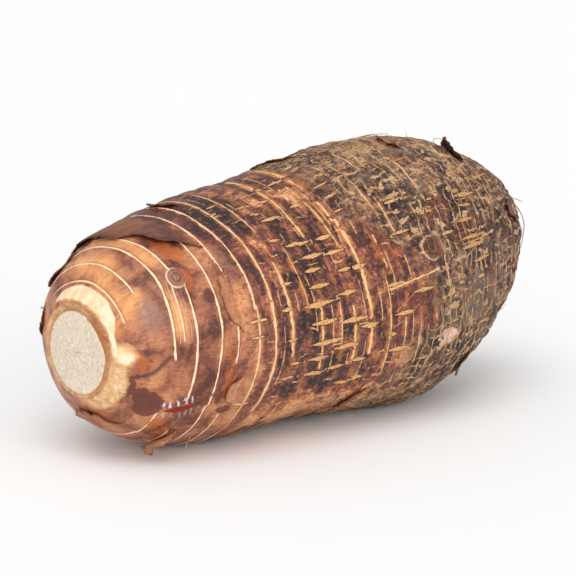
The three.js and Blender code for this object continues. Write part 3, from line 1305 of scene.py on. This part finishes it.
# %% Grit
def add_grit(w, skin, look, to_root):
    gritty = w.times(w.ease(skin.along, 15, 60, 0.2, 1), w.fade(to_root, 1, 0.7))
    fine = off_middle(w, w.noise(skin.place, 1000, 4, 0.8), 1.8)
    look.colour = shaded(w, look.colour, w.times(fine, gritty))
    rust = w.ease(w.noise(skin.place, 470, 4, 0.75), 0.55, 0.63)
    look.paint(w, w.times(rust, gritty, 0.5), srgb(188, 110, 62))
    dirt = w.ease(w.noise(skin.grow, 430, 4, 0.75), 0.55, 0.63)
    look.paint(w, w.times(dirt, gritty, 0.6), srgb(46, 31, 29))


# %% [markdown]
# ### Scars
#
# A scar is a pale line that a torn sheath left. Where none was drawn, the mesh's count of scars gives
# one, which breaks up towards the root end. The drawn ones read their distance from the mesh, and
# have a worn, warmer halo and a thin painted shadow on the side of the root end. The painted shadow
# of the torn step goes on here too.

# %% Scars at every band
def band_scars(w, skin, look, to_root):
    """Warms the skin along the scars, and returns where their lines show."""
    _, nearest, away = skin.ring(w, 1)
    seam = w.times(w.ease(away, 0.4, 2.2, 1, 0), w.ease(w.noise(skin.place, 230, 3), 0.45, 0.6))
    seam = w.times(seam, w.ease(skin.along, 45, 70), w.fade(to_root, 1, 0.3))
    look.paint(w, w.times(seam, 0.5), srgb(192, 120, 72))
    wide = w.ease(skin.chance(w, nearest, 22), 0.3, 0.7, 0.5, 1.4)
    wide = w.times(wide, w.ease(skin.along, 95, 140, 1, 0.65))
    broken = w.ease(skin.along, 60, 130, 0.2, 0.53)
    shown = w.ease(w.math("SUBTRACT", skin.chance(w, nearest, 17), broken), -0.02, 0.13)
    shown = w.times(shown, w.math("SUBTRACT", 1, w.attribute("drawn", "Fac"), clamp=True))
    off_ring = w.total(away, w.times(skin.ragged, w.ease(skin.along, 60, 150, 0, 1.6)))
    scar_line = w.times(w.line(off_ring, w.times(wide, shown), 0.16), w.ease(shown, 0, 0.3))
    scar_line = w.times(scar_line, w.ease(skin.along, 120, 200, 1, 0.5))
    return scar_line


# %% Scars drawn one by one
def add_scars(w, skin, look, scar_line):
    """Draws all scars, paints the shadows beside them, and returns the colour of their lines."""
    beside_line, line_width, near = w.split(w.attribute("line"))
    near = w.ease(near, 0.2, 0.9)
    frayed = w.times(skin.ragged, w.ease(skin.along, 20, 60, 0.5, 1.5))
    off_line = w.math("ABSOLUTE", w.total(beside_line, frayed))
    line_width = w.times(line_width, w.ease(w.noise(skin.grow, 170, 2), 0.3, 0.7, 0.5, 1.2))
    line_width = w.times(line_width, w.ease(skin.along, 25, 60, 0.5, 0.85))
    line_width = w.times(line_width, w.ease(skin.along, 96, 130, 1, 0.6))
    worn = w.ease(skin.along, 40, 120, 0.25, 0.42)
    worn = w.ease(w.noise(skin.grow, 120, 2), worn, w.total(worn, 0.05))
    drawn_line = w.times(w.line(off_line, line_width, 0.2), near, worn)
    halo = w.ease(w.math("SUBTRACT", off_line, w.times(line_width, 0.5)), 0.1, 1.7, 1, 0)
    halo = w.times(halo, near, w.ease(w.noise(skin.grow, 240, 3, 0.6), 0.42, 0.56))
    halo = w.times(halo, w.ease(skin.along, 36, 60))
    look.paint(w, w.times(halo, 0.7), srgb(206, 132, 78))
    scar_line = w.math("MAXIMUM", scar_line, drawn_line)
    line_colour = w.mix(w.ease(skin.along, 30, 75), CREAM_LINE, TAN_LINE)
    line_colour = w.mix(w.ease(skin.along, 100, 140), line_colour, FIBRE_TAN)
    # a thin painted shadow beside each drawn line, on the side of the root end
    shadow = w.times(w.ease(beside_line, 0.2, 0.6), w.ease(beside_line, 0.7, 1.5, 1, 0))
    shadow = w.times(shadow, w.ease(near, 0.9, 1))
    look.paint(w, w.times(shadow, 0.3), srgb(120, 58, 36))
    # the painted shadow of the torn step, in dark brown
    step_shade = w.split(w.attribute("zone"))[2]
    look.paint(w, w.times(step_shade, 0.95), srgb(76, 32, 18))
    look.paint(w, scar_line, line_colour)
    look.raise_by(w, w.times(scar_line, 0.22), w.times(shadow, -0.1))
    look.roughen(w, scar_line, 0.55)
    return line_colour


# %% [markdown]
# ### Splits
#
# Cork is lighter than the bark, matt and full of pores. Round it runs a dark lip of painted shade,
# where the split sinks into the bark. The outline is a lens, worked out from the place that the mesh
# holds, and made ragged by noise.

# %% Corky splits
def add_splits(w, skin, look):
    u, v, near = w.split(w.attribute("split"))
    u = w.math("ABSOLUTE", w.total(u, w.times(skin.ragged, 0.35)))
    v = w.math("ABSOLUTE", w.total(v, w.times(skin.sway, 1.2)))
    lens = w.math("SUBTRACT", 1, w.math("POWER", u, 1.5))
    lens = w.math("SUBTRACT", lens, w.total(v, w.times(skin.ragged, 1.8)))
    cork = w.times(w.ease(lens, 0, 0.22), w.ease(near, 0.3, 0.6))
    lip = w.times(w.ease(lens, -0.5, 0), w.ease(near, 0.3, 0.6))
    pores = w.noise(skin.grow, 1700, 2, 0.6)
    cork_colour = w.mix(w.ease(pores, 0.35, 0.6), srgb(184, 130, 78), CORK)
    rich = w.ease(skin.along, 110, 160, 1, 0.85)
    # a dark lip of painted shade round the cork
    look.paint(w, w.times(lip, 0.35), srgb(54, 30, 26))
    look.paint(w, w.times(cork, rich), cork_colour)
    look.raise_by(w, w.times(cork, 0.25), w.times(lip, -0.25))
    look.roughen(w, cork, 0.82)


# %% [markdown]
# ### Patches
#
# Pale flesh, dark husk and raw orange skin lie in patches. The brush made their outlines soft, so
# adding noise to the stroke and then easing it over a short range gives them torn edges.

# %% Patches of flesh, husk and raw skin
def add_patches(w, skin, look, grain):
    pale, dark, orange = w.split(w.attribute("paint"))
    patchy = w.total(w.times(skin.ragged, 1.3), off_middle(w, w.noise(skin.place, 170, 2), 1.6))
    only_here = w.ease(orange, 0, 0.2)
    orange = w.times(w.ease(w.total(orange, patchy), 0.3, 0.65), only_here)
    raw = w.mix(grain["Blotches"], srgb(138, 54, 22), srgb(206, 118, 56))
    look.paint(w, w.times(orange, 0.8), raw)
    only_here = w.ease(dark, 0, 0.15)
    dark = w.times(w.ease(w.total(dark, w.times(patchy, 0.8)), 0.3, 0.42), only_here)
    dark_colour = w.mix(grain["Blotches"], srgb(72, 36, 34), srgb(122, 66, 50))
    look.paint(w, w.times(dark, 0.92), dark_colour)
    only_here = w.ease(pale, 0, 0.15)
    worn_off = w.times(skin.ragged, w.ease(skin.along, 60, 100, 0.8, 2))
    pale = w.total(pale, worn_off, w.times(patchy, w.ease(skin.along, 60, 100, 0.1, 0.7)))
    covers = w.times(w.ease(pale, 0.15, 0.55), only_here)
    mottled = w.ease(w.noise(skin.place, 260, 3), 0.42, 0.62)
    flesh = w.mix(mottled, PALE_FLESH, srgb(240, 206, 162))
    flesh = w.mix(w.ease(pale, 0.45, 0.8, 1, 0), flesh, srgb(212, 166, 114))
    wound = w.ease(skin.along, 100, 130)
    flesh = w.mix(wound, flesh, srgb(222, 182, 160))
    look.paint(w, w.times(covers, 0.92), flesh)
    look.roughen(w, dark, 0.62)
    look.roughen(w, covers, 0.6)


# %% [markdown]
# ### Buds
#
# A bud is a small eye: faint rings in a pale rim. Near the root end the buds are dull and dark.

# %% Side buds
def add_buds(w, skin, look, line_colour):
    u, v, near = w.split(w.attribute("bud"))
    out = w.math("SQRT", w.total(w.times(u, u), w.times(v, v)))
    out = w.total(out, w.times(skin.ragged, w.ease(skin.along, 60, 120, 0.16, 0.6)))
    in_bud = w.times(w.ease(out, 0.9, 1, 1, 0), w.ease(near, 0.3, 0.7))
    rings = w.math("PINGPONG", w.times(w.total(out, w.times(skin.sway, 0.5)), 4.2), 1)
    bud_colour = w.mix(w.ease(rings, 0.2, 0.8), srgb(116, 66, 56), srgb(158, 102, 84))
    dull = w.ease(skin.along, 100, 135)
    bud_colour = w.mix(dull, bud_colour, w.mix(rings, srgb(44, 31, 28), srgb(104, 62, 44)))
    glow = w.ease(w.total(u, w.times(skin.ragged, 2.5)), 0.2, 0.7)
    bud_colour = w.mix(w.times(dull, glow, 0.6), bud_colour, srgb(150, 78, 48))
    look.paint(w, w.times(in_bud, w.ease(dull, 0, 1, 0.85, 0.7)), bud_colour)
    rim_line = w.line(w.math("ABSOLUTE", w.math("SUBTRACT", out, 1)), 0.12, 0.08)
    rim_line = w.times(rim_line, w.ease(near, 0.3, 0.7), w.ease(u, -0.5, 0.8, 0.6, 0.1))
    look.paint(w, rim_line, line_colour)
    look.raise_by(w, w.times(rings, in_bud, 0.12), w.times(rim_line, 0.15))


# %% [markdown]
# ### Slit
#
# The slit is orange inside, where the flesh dried. The skin round it is wrinkled and glossy, and the
# crests of its wrinkles get painted highlights, a pale lilac white laid into the colour.

# %% Slit and wrinkles
def add_slit(w, skin, look):
    u, v, near = w.split(w.attribute("slit"))
    near = w.ease(near, 0.3, 0.8)
    wavy = w.total(v, w.times(skin.ragged, 0.2), w.times(w.math("SINE", w.times(u, 5)), 0.05))
    side = w.math("ABSOLUTE", wavy)
    bow = w.math("SUBTRACT", 1, w.times(u, u))
    cut = w.times(w.ease(w.math("SUBTRACT", w.times(bow, 0.3), side), 0, 0.05), near)
    wrinkled = w.times(w.ease(side, 0.16, 0.3), w.ease(side, 0.6, 1.0, 1, 0), near)
    wrinkled = w.times(wrinkled, w.ease(v, -0.1, 0.1, 1, 0.45))
    waves = w.math("SINE", w.total(w.times(u, 17), w.times(skin.sway, 20), w.times(skin.ragged, 8)))
    look.raise_by(w, w.times(waves, wrinkled, 0.25), w.times(cut, -0.5))
    look.paint(w, w.times(wrinkled, 0.35), srgb(128, 74, 66))
    # painted highlights: pale colour laid on the crests of the wrinkles
    crest = w.ease(w.total(waves, w.times(skin.ragged, 2)), 0.2, 0.8)
    crest = w.times(crest, wrinkled, w.ease(w.noise(skin.place, 300, 2), 0.34, 0.5))
    look.paint(w, w.times(crest, 0.85), srgb(226, 212, 216))
    in_cut = w.mix(w.ease(v, -0.12, 0.06), srgb(214, 84, 24), srgb(120, 36, 14))
    look.paint(w, cut, in_cut)
    look.roughen(w, wrinkled, 0.25)


# %% [markdown]
# ### Both ends
#
# The knife left a stained rim round the cut. At the other end a round, pithy scar shows where the
# corm broke off the one that it grew on.

# %% Rim and root scar
def add_rim(w, skin, look):
    to_rim = w.ease(w.total(skin.run, w.times(skin.ragged, 2)), -0.4, 0.7, 1, 0)
    stained = w.ease(w.noise(skin.place, 330, 4, 0.6), 0.38, 0.62)
    upward = w.ease(skin.up, 0.01, 0.04)
    rim_colour = w.mix(upward, srgb(222, 178, 128), srgb(196, 138, 92))
    rim_colour = w.mix(w.times(stained, 0.6), rim_colour, srgb(168, 104, 62))
    look.paint(w, w.times(to_rim, 0.92), rim_colour)
    edge_line = w.ease(w.total(skin.run, w.times(skin.ragged, 0.5)), -1.9, -1.5, 1, 0)
    look.paint(w, w.times(edge_line, 0.6), srgb(150, 92, 52))


def add_root_scar(w, skin, look):
    to_end = w.total(SKIN_RUN, w.times(skin.run, -1), w.times(skin.ragged, 3))
    pith = w.ease(w.noise(skin.place, 420, 4, 0.7), 0.4, 0.6)
    pith = w.mix(pith, srgb(46, 33, 28), srgb(132, 92, 62))
    look.paint(w, w.ease(to_end, 6.5, 8, 1, 0), pith)
    lip = w.line(w.math("ABSOLUTE", w.math("SUBTRACT", to_end, 8)), 1, 0.5)
    look.paint(w, w.times(lip, 0.55), FIBRE_TAN)


# %% [markdown]
# ### The whole skin
#
# The finishes go on in the order in which they lie on a real corm, with soil dust last, which also
# makes the skin a little rougher. The Principled shader stays here, in the material itself.

# %% The whole skin
def add_dust(w, skin, look):
    amount = w.ease(skin.along, 35, 150, 0.2, 0.42)
    dusty = use_group(w, dust_group, {"Place": skin.grow, "Amount": amount})["Dusty"]
    look.paint(w, w.times(dusty, 0.3), srgb(158, 138, 116))
    look.rough = w.total(look.rough, w.times(dusty, 0.15))


def skin_material():
    material = bpy.data.materials.new("corm_skin")
    material.use_nodes = True
    shader = material.node_tree.nodes["Principled BSDF"]
    w = Wires(material.node_tree)
    skin = Skin(w)
    grain = use_group(w, grain_group, {"Place": skin.grow})
    look, to_root = mixed_zones(w, skin, grain)
    add_grit(w, skin, look, to_root)
    line_colour = add_scars(w, skin, look, band_scars(w, skin, look, to_root))
    add_splits(w, skin, look)
    add_patches(w, skin, look, grain)
    add_buds(w, skin, look, line_colour)
    add_slit(w, skin, look)
    add_rim(w, skin, look)
    add_root_scar(w, skin, look)
    add_dust(w, skin, look)
    finish_shader(w, shader, look, 0.35)
    return material


corm_skin = skin_material()
print("corm_skin has", len(corm_skin.node_tree.nodes), "nodes")

# %% [markdown]
# ### The cut flesh
#
# Fresh taro is cream, with short purple-grey flecks where its sap vessels were cut across. It is
# dry and matt, and its edge has browned.

# %% Cut flesh
def cut_flesh_material():
    material = bpy.data.materials.new("cut_flesh")
    material.use_nodes = True
    tree = material.node_tree
    shader = tree.nodes["Principled BSDF"]
    w = Wires(tree)
    place = w.add("ShaderNodeTexCoord", {}, "Object")
    mottle = w.noise(place, 700, 4, 0.6)
    colour = w.ramp(
        mottle,
        (0.3, srgb(204, 186, 164)),
        (0.5, srgb(219, 202, 180)),
        (0.7, srgb(230, 215, 194)),
    )
    turned = w.stretch(place, (1000, 1700, 1000))
    cell = w.tree.nodes.new("ShaderNodeTexVoronoi")
    w.put(cell.inputs["Vector"], turned)
    w.put(cell.inputs["Scale"], 1)
    lucky = w.ease(w.split(cell.outputs["Color"])[0], 0.4, 0.5)
    fleck = w.times(w.ease(cell.outputs["Distance"], 0.18, 0.36, 1, 0), lucky)
    colour = w.mix(w.times(fleck, 0.55), colour, srgb(136, 122, 122))
    run_in = w.times(w.split(w.attribute("grow"))[0], -1000)
    browned = w.ease(w.total(run_in, w.times(mottle, 0.8)), 2.7, 3.1, 1, 0)
    colour = w.mix(w.times(browned, 0.8), colour, srgb(196, 140, 86))
    w.put(shader.inputs["Base Color"], colour)
    shader.inputs["Roughness"].default_value = 0.75
    height = w.total(w.times(mottle, 0.25), w.times(fleck, -0.12))
    bump = w.add("ShaderNodeBump", {"Strength": 1, "Distance": MM, "Height": height})
    w.put(shader.inputs["Normal"], bump)
    return material


cut_flesh = cut_flesh_material()
corm.data.materials.clear()
corm.data.materials.append(corm_skin)
corm.data.materials.append(cut_flesh)
in_flesh = at_crown & (rim < GIRTH_RADIUS - (FLESH_FROM - 0.1) * MM)
for face in corm.data.polygons:
    face.material_index = int(all(in_flesh[i] for i in face.vertices))

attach(corm, "root")
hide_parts("taro_corm")
print("materials on the corm:", [m.name for m in corm.data.materials])

# %% [markdown]
# ## Husk
#
# Leaf sheaths dry to a papery husk. Most of it is rubbed off, but flaps stay where a sheath was
# attached, with a torn free edge that points to the crown and lifts off the skin. Each flap is a
# grid, laid on the skin row by row from its attached edge to its torn edge, and given a thickness.

# %% Places on the finished skin
skin_mesh = [v.co.copy() for v in corm.data.vertices]
skin_tree = BVHTree.FromPolygons(skin_mesh, [tuple(p.vertices) for p in corm.data.polygons])
skin_along = along[first_skin:] / MM
skin_spots = skin[first_skin:]


def on_corm(place, around, lift=0.0):
    """The point over a place on the finished skin. Place and lift in mm, around in degrees."""
    spot = (around % 360) / 360 * SIDES
    low = int(spot) % SIDES
    share = spot - int(spot)
    point = np.zeros(3)
    for col, weight in ((low, 1 - share), ((low + 1) % SIDES, share)):
        reached = np.maximum.accumulate(skin_along[:, col])
        point += weight * np.array(
            [np.interp(place, reached, skin_spots[:, col, axis]) for axis in range(3)]
        )
    normal = skin_tree.find_nearest(Vector(point))[1]
    return Vector(point) + normal * lift * MM


def torn(count, size):
    """A smooth random line of so many numbers, about -1 to 1, with a few sharp nicks."""
    slow = np.interp(np.linspace(0, 1, count), np.linspace(0, 1, size), rng.normal(size=size))
    return 0.5 * slow + 0.3 * rng.normal(size=count)


# %% Flaps
HUSK_THICK = 0.35
TABLE_GAP = 0.2  # no husk comes nearer to the table than this, in mm
# name, attached place, torn edge as (round, along) points, lift in mm, raggedness in mm, tint
FLAPS = (
    ("husk_top", 41.5, ((296, 38), (304, 27), (330, 21), (0, 20), (8, 25), (24, 29), (37, 40)),
     1.5, 0.5, 0.2),
    ("husk_shoulder", 17.5, ((296, 16), (303, 11), (310, 8.5), (318, 8), (325, 11), (333, 16)),
     1.5, 0.7, 0.3),
    ("husk_rim", 7, ((268, 6.5), (276, 3.5), (284, 2.6), (292, 4), (298, 6.5)), 1.2, 0.8, 0.5),
    ("husk_lower", 9.5, ((154, 8.6), (162, 4), (175, 2.6), (190, 2.9), (202, 8)), 1.7, 0.5, 0.7),
    ("husk_side", 45, ((50, 44), (55, 38.5), (62, 37.2), (70, 37.6), (77, 39.4), (83, 44)),
     0.6, 0.5, 0.75),
    ("husk_flake", 46, ((105, 45), (108, 40), (113, 38.2), (119, 39), (123, 45)),
     0.9, 0.5, 1.0),
    ("husk_belly", 27, ((144, 26), (148, 20), (153, 17.5), (158, 18.5), (163, 26)), 4.2, 0.7, 1.0),
    ("husk_outline", 55, ((338, 54), (343, 48), (349, 46.5), (355, 49), (359, 54)), 1.6, 0.6, 0.3),
    ("husk_crest", 158, ((5, 157), (8, 152), (12, 150.5), (16, 152), (19, 157)), 1.5, 0.6, 0.6),
    ("husk_notch", 187, ((15, 186), (19, 180), (24, 177.5), (28, 180), (32, 186)), 3.6, 0.5, -0.35),
    ("husk_low_rim", 172, ((126, 171), (129, 165), (133, 162), (137, 165), (140, 171)), 1.5, 0.6, 0),
    ("husk_hidden_a", 58, ((204, 57), (214, 49), (228, 48), (242, 50), (250, 57)), 1.4, 0.8, 0.3),
    ("husk_hidden_b", 96, ((252, 95), (262, 87), (275, 85), (286, 89), (292, 95)), 1.5, 0.8, 0.2),
    ("husk_hidden_c", 122, ((322, 121), (330, 114), (340, 112), (350, 115), (356, 121)), 1.2, 0.7, 0.5),
    ("husk_low_b", 113, ((126, 112), (131, 105), (138, 103), (146, 106), (150, 112)), 1.3, 0.8, 0.5),
    ("husk_tail", 203, ((55, 202), (59, 197), (64, 195.5), (69, 198), (73, 202)), 1.6, 0.6, -0.1),
)
FLAP_ROWS = 9
MM_A_COLUMN = 0.9


def husk_flap(name, attached, edge, lift, ragged, tint):
    """One flap from its attached place to its torn edge, as a thin closed shell."""
    turns = np.unwrap([math.radians(around) for around, _ in edge])
    girth = np.linalg.norm(on_corm(attached, edge[0][0]) - on_corm(attached, edge[-1][0]))
    columns = max(12, int(girth / MM / MM_A_COLUMN))
    bpy.ops.object.select_all(action="DESELECT")
    bpy.ops.mesh.primitive_grid_add(x_subdivisions=FLAP_ROWS, y_subdivisions=columns, size=2)
    flap = bpy.context.object
    flap.name = name
    spots = np.array([v.co for v in flap.data.vertices])
    across = np.round((spots[:, 1] + 1) / 2 * columns).astype(int)
    toward = (spots[:, 0] + 1) / 2
    rough_edge = ragged * torn(columns + 1, columns // 4 + 2)
    wave = lift * (1 + 0.45 * torn(columns + 1, columns // 6 + 2))
    grow_values = []
    for vertex, col, share in zip(flap.data.vertices, across, toward):
        turn = turns[0] + (turns[-1] - turns[0]) * col / columns
        free = np.interp(turn, turns, [place for _, place in edge]) + rough_edge[col]
        reach_mm = attached - free
        place = attached - reach_mm * share
        risen = -0.45 + (wave[col] + 0.45) * share**1.3 * min(1, reach_mm / 4)
        vertex.co = on_corm(max(place, 0.4), math.degrees(turn), risen)
        grow_values += [
            run_to(place) * MM,
            ROLL_RADIUS * math.cos(turn),
            ROLL_RADIUS * math.sin(turn),
        ]
    made = flap.data.attributes.new("grow", "FLOAT_VECTOR", "POINT")
    made.data.foreach_set("vector", grow_values)
    made = flap.data.attributes.new("flap", "FLOAT_VECTOR", "POINT")
    known = [toward, np.full(len(toward), tint), np.zeros(len(toward))]
    made.data.foreach_set("vector", np.stack(known, axis=1).ravel())
    only(flap)
    bpy.ops.object.modifier_add(type="SOLIDIFY")
    flap.modifiers[0].thickness = HUSK_THICK * MM
    flap.modifiers[0].offset = 0
    bpy.ops.object.modifier_apply(modifier=flap.modifiers[0].name)
    bpy.ops.object.mode_set(mode="EDIT")
    bpy.ops.mesh.select_all(action="SELECT")
    bpy.ops.mesh.normals_make_consistent(inside=False)
    bpy.ops.object.mode_set(mode="OBJECT")
    bpy.ops.object.shade_smooth()
    for vertex in flap.data.vertices:
        vertex.co.z = max(vertex.co.z, TABLE_GAP * MM)
    return flap


flaps = [husk_flap(*details) for details in FLAPS]
print(len(flaps), "flaps,", sum(len(f.data.polygons) for f in flaps), "faces")

# %% [markdown]
# Husk shares the sheath grain and the dust with the skin, because it is the same tissue, only dry. A
# tint makes each flap a little different, and the torn edge is darker, where it has worn thin.

# %% Husk material
def husk_material():
    material = bpy.data.materials.new("husk")
    material.use_nodes = True
    shader = material.node_tree.nodes["Principled BSDF"]
    w = Wires(material.node_tree)
    grow = w.attribute("grow")
    toward, tint, _ = w.split(w.attribute("flap"))
    grain = use_group(w, grain_group, {"Place": grow})
    tone = w.total(
        w.times(tint, 0.45),
        off_middle(w, grain["Blotches"], 0.9),
        off_middle(w, grain["Specks"], 0.6),
        0.3,
    )
    colour = w.ramp(
        tone,
        (0.0, srgb(52, 32, 32)),
        (0.25, srgb(94, 54, 44)),
        (0.5, srgb(146, 92, 66)),
        (0.75, srgb(184, 126, 90)),
        (1.0, srgb(210, 158, 118)),
    )
    colour = shaded(w, colour, off_middle(w, grain["Streaks"], 0.9))
    worn = w.ease(w.total(toward, off_middle(w, grain["Specks"], 0.5)), 0.86, 1.0)
    colour = w.mix(w.times(worn, 0.6), colour, srgb(84, 44, 30))
    dusty = use_group(w, dust_group, {"Place": grow, "Amount": 0.25})["Dusty"]
    colour = w.mix(w.times(dusty, 0.3), colour, srgb(158, 138, 116))
    height = w.total(w.times(grain["Streaks"], 0.25), w.times(grain["Specks"], 0.2))
    look = Look(colour, height, w.ease(grain["Specks"], 0.3, 0.7, 0.4, 0.65))
    finish_shader(w, shader, look, 0.3)
    return material


husk = husk_material()
for flap in flaps:
    flap.data.materials.append(husk)
    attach(flap, "root")
    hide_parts("taro_corm")
print("husk has", len(husk.node_tree.nodes), "nodes")

# %% [markdown]
# ## Loose fibres
#
# The root end is shaggy with the ends of old vessels and root hairs. Each fibre is a curve with a
# round section that follows the skin and lifts off it at one end. The curves are turned into
# meshes and joined, so they can be worn and coloured as one piece.

# %% Loose fibres
FIBRE_POINTS = 7


def fibre(places, thickness, ends_up=0.0):
    """A thin tapering strand through (along, round, lift) places, in mm and degrees."""
    curve = bpy.data.curves.new("fibre", "CURVE")
    curve.dimensions = "3D"
    curve.bevel_depth = thickness / 2 * MM
    curve.bevel_resolution = 0
    curve.resolution_u = 2
    curve.use_fill_caps = True
    strand = curve.splines.new("NURBS")
    strand.points.add(FIBRE_POINTS - 1)
    strand.use_endpoint_u = True
    known = np.linspace(0, 1, len(places))
    for i, point in enumerate(strand.points):
        share = i / (FIBRE_POINTS - 1)
        at, around, lift = (np.interp(share, known, values) for values in zip(*places))
        spot = on_corm(at, around, lift + ends_up * share**3)
        spot.z = max(spot.z, thickness * MM)
        point.co = (*spot, 1)
        point.radius = 1 - 0.6 * share
    holder = bpy.data.objects.new("fibre", curve)
    bpy.context.collection.objects.link(holder)
    return holder


strands = [
    fibre(((128, 2, 0.3), (138, 4, 1.6), (148, 6, 2.6), (159, 9, 2.2)), 0.55),
    fibre(((206, 58, 0.2), (214, 72, 2.4), (216, 90, 3.4), (213, 106, 1.2)), 0.6),
    fibre(((176, 40, 0.2), (186, 48, 1.0), (198, 55, 1.8), (206, 60, 4.0)), 0.5),
    fibre(((160, 352, 0.2), (167, 356, 1.8), (176, 2, 2.8)), 0.5),
    fibre(((186, 352, 0.2), (190, 2, 2.2), (190, 12, 4.0)), 0.45),
    fibre(((100, 131, 0.2), (98, 137, 1.2), (95, 141, 2.6)), 0.5),
    fibre(((24, 140, 0.1), (25, 147, 1.2), (27, 150, 2.4)), 0.6),
    fibre(((36, 151, 0.1), (37, 156, 1.8), (37, 158, 3.6)), 0.7),
    fibre(((6, 292, 0.1), (5, 296, 1.4), (3, 300, 2.4)), 0.6),
]
STRAY_FIBRES = 110
for _ in range(STRAY_FIBRES):
    at = rng.uniform(108, 216)
    around = rng.uniform(-180, 180)
    length = rng.uniform(6, 20)
    lean = rng.normal(0, 12) if rng.uniform() < 0.7 else rng.choice((-1, 1)) * rng.uniform(14, 30)
    end = min(at + length * math.cos(math.radians(lean * 2.5)), 224)
    lift = rng.uniform(0.05, 0.35)
    ends_up = rng.uniform(0, 1.6) * (rng.uniform() < 0.35)
    middle = ((at + end) / 2, around + lean / 2 + rng.normal(0, 2.5), lift + 0.1)
    strands.append(fibre(((at, around, 0), middle, (end, around + lean, lift)), 0.34, ends_up))

bpy.ops.object.select_all(action="DESELECT")
for strand in strands:
    strand.select_set(True)
bpy.context.view_layer.objects.active = strands[0]
bpy.ops.object.convert(target="MESH")
bpy.ops.object.join()
fibres = bpy.context.object
fibres.name = "loose_fibres"
bpy.ops.object.shade_smooth()
print(len(strands), "fibres,", len(fibres.data.polygons), "faces")

# %% [markdown]
# The fibres are dull and woody, from nearly black where they are old to straw where they are fresh.

# %% Fibre material
def fibre_material():
    material = bpy.data.materials.new("root_fibre")
    material.use_nodes = True
    shader = material.node_tree.nodes["Principled BSDF"]
    w = Wires(material.node_tree)
    place = w.add("ShaderNodeTexCoord", {}, "Object")
    patchy = w.noise(place, 60, 4, 0.65)
    colour = w.ramp(
        patchy,
        (0.3, srgb(60, 46, 40)),
        (0.46, srgb(122, 90, 66)),
        (0.6, srgb(186, 148, 104)),
        (0.75, srgb(214, 178, 132)),
    )
    dusty = use_group(w, dust_group, {"Place": place, "Amount": 0.35})["Dusty"]
    colour = w.mix(w.times(dusty, 0.4), colour, srgb(158, 138, 116))
    w.put(shader.inputs["Base Color"], colour)
    w.put(shader.inputs["Roughness"], w.ease(patchy, 0.3, 0.7, 0.6, 0.85))
    bump = w.add(
        "ShaderNodeBump", {"Strength": 0.6, "Distance": MM, "Height": w.noise(place, 1800, 2)}
    )
    w.put(shader.inputs["Normal"], bump)
    return material


fibres.data.materials.clear()
fibres.data.materials.append(fibre_material())
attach(fibres, "root")
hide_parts("taro_corm")

# %% [markdown]
# ## The table
#
# The corm lies on a pale, matt table: a plane so wide that its edge never shows. It is a stage, and
# isn't part of the object.

# %% Table
bpy.ops.object.select_all(action="DESELECT")
bpy.ops.mesh.primitive_plane_add(size=24)
table = bpy.context.object
table.name = "table"
pale = bpy.data.materials.new("pale_table")
pale.use_nodes = True
pale.node_tree.nodes["Principled BSDF"].inputs["Base Color"].default_value = (0.93, 0.93, 0.93, 1)
pale.node_tree.nodes["Principled BSDF"].inputs["Roughness"].default_value = 0.9
table.data.materials.append(pale)
table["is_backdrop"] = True

# %% [markdown]
# ## Sizes
#
# Last, the box of the finished model is written beside that of the solid, to show that the skin, husk
# and fibres add only a few millimetres to it.

# %% Sizes
new_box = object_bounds()
for name, box in (("solid", cad_box), ("finished", new_box)):
    print(name, [round(v / MM, 1) for corner in box for v in corner], "mm")
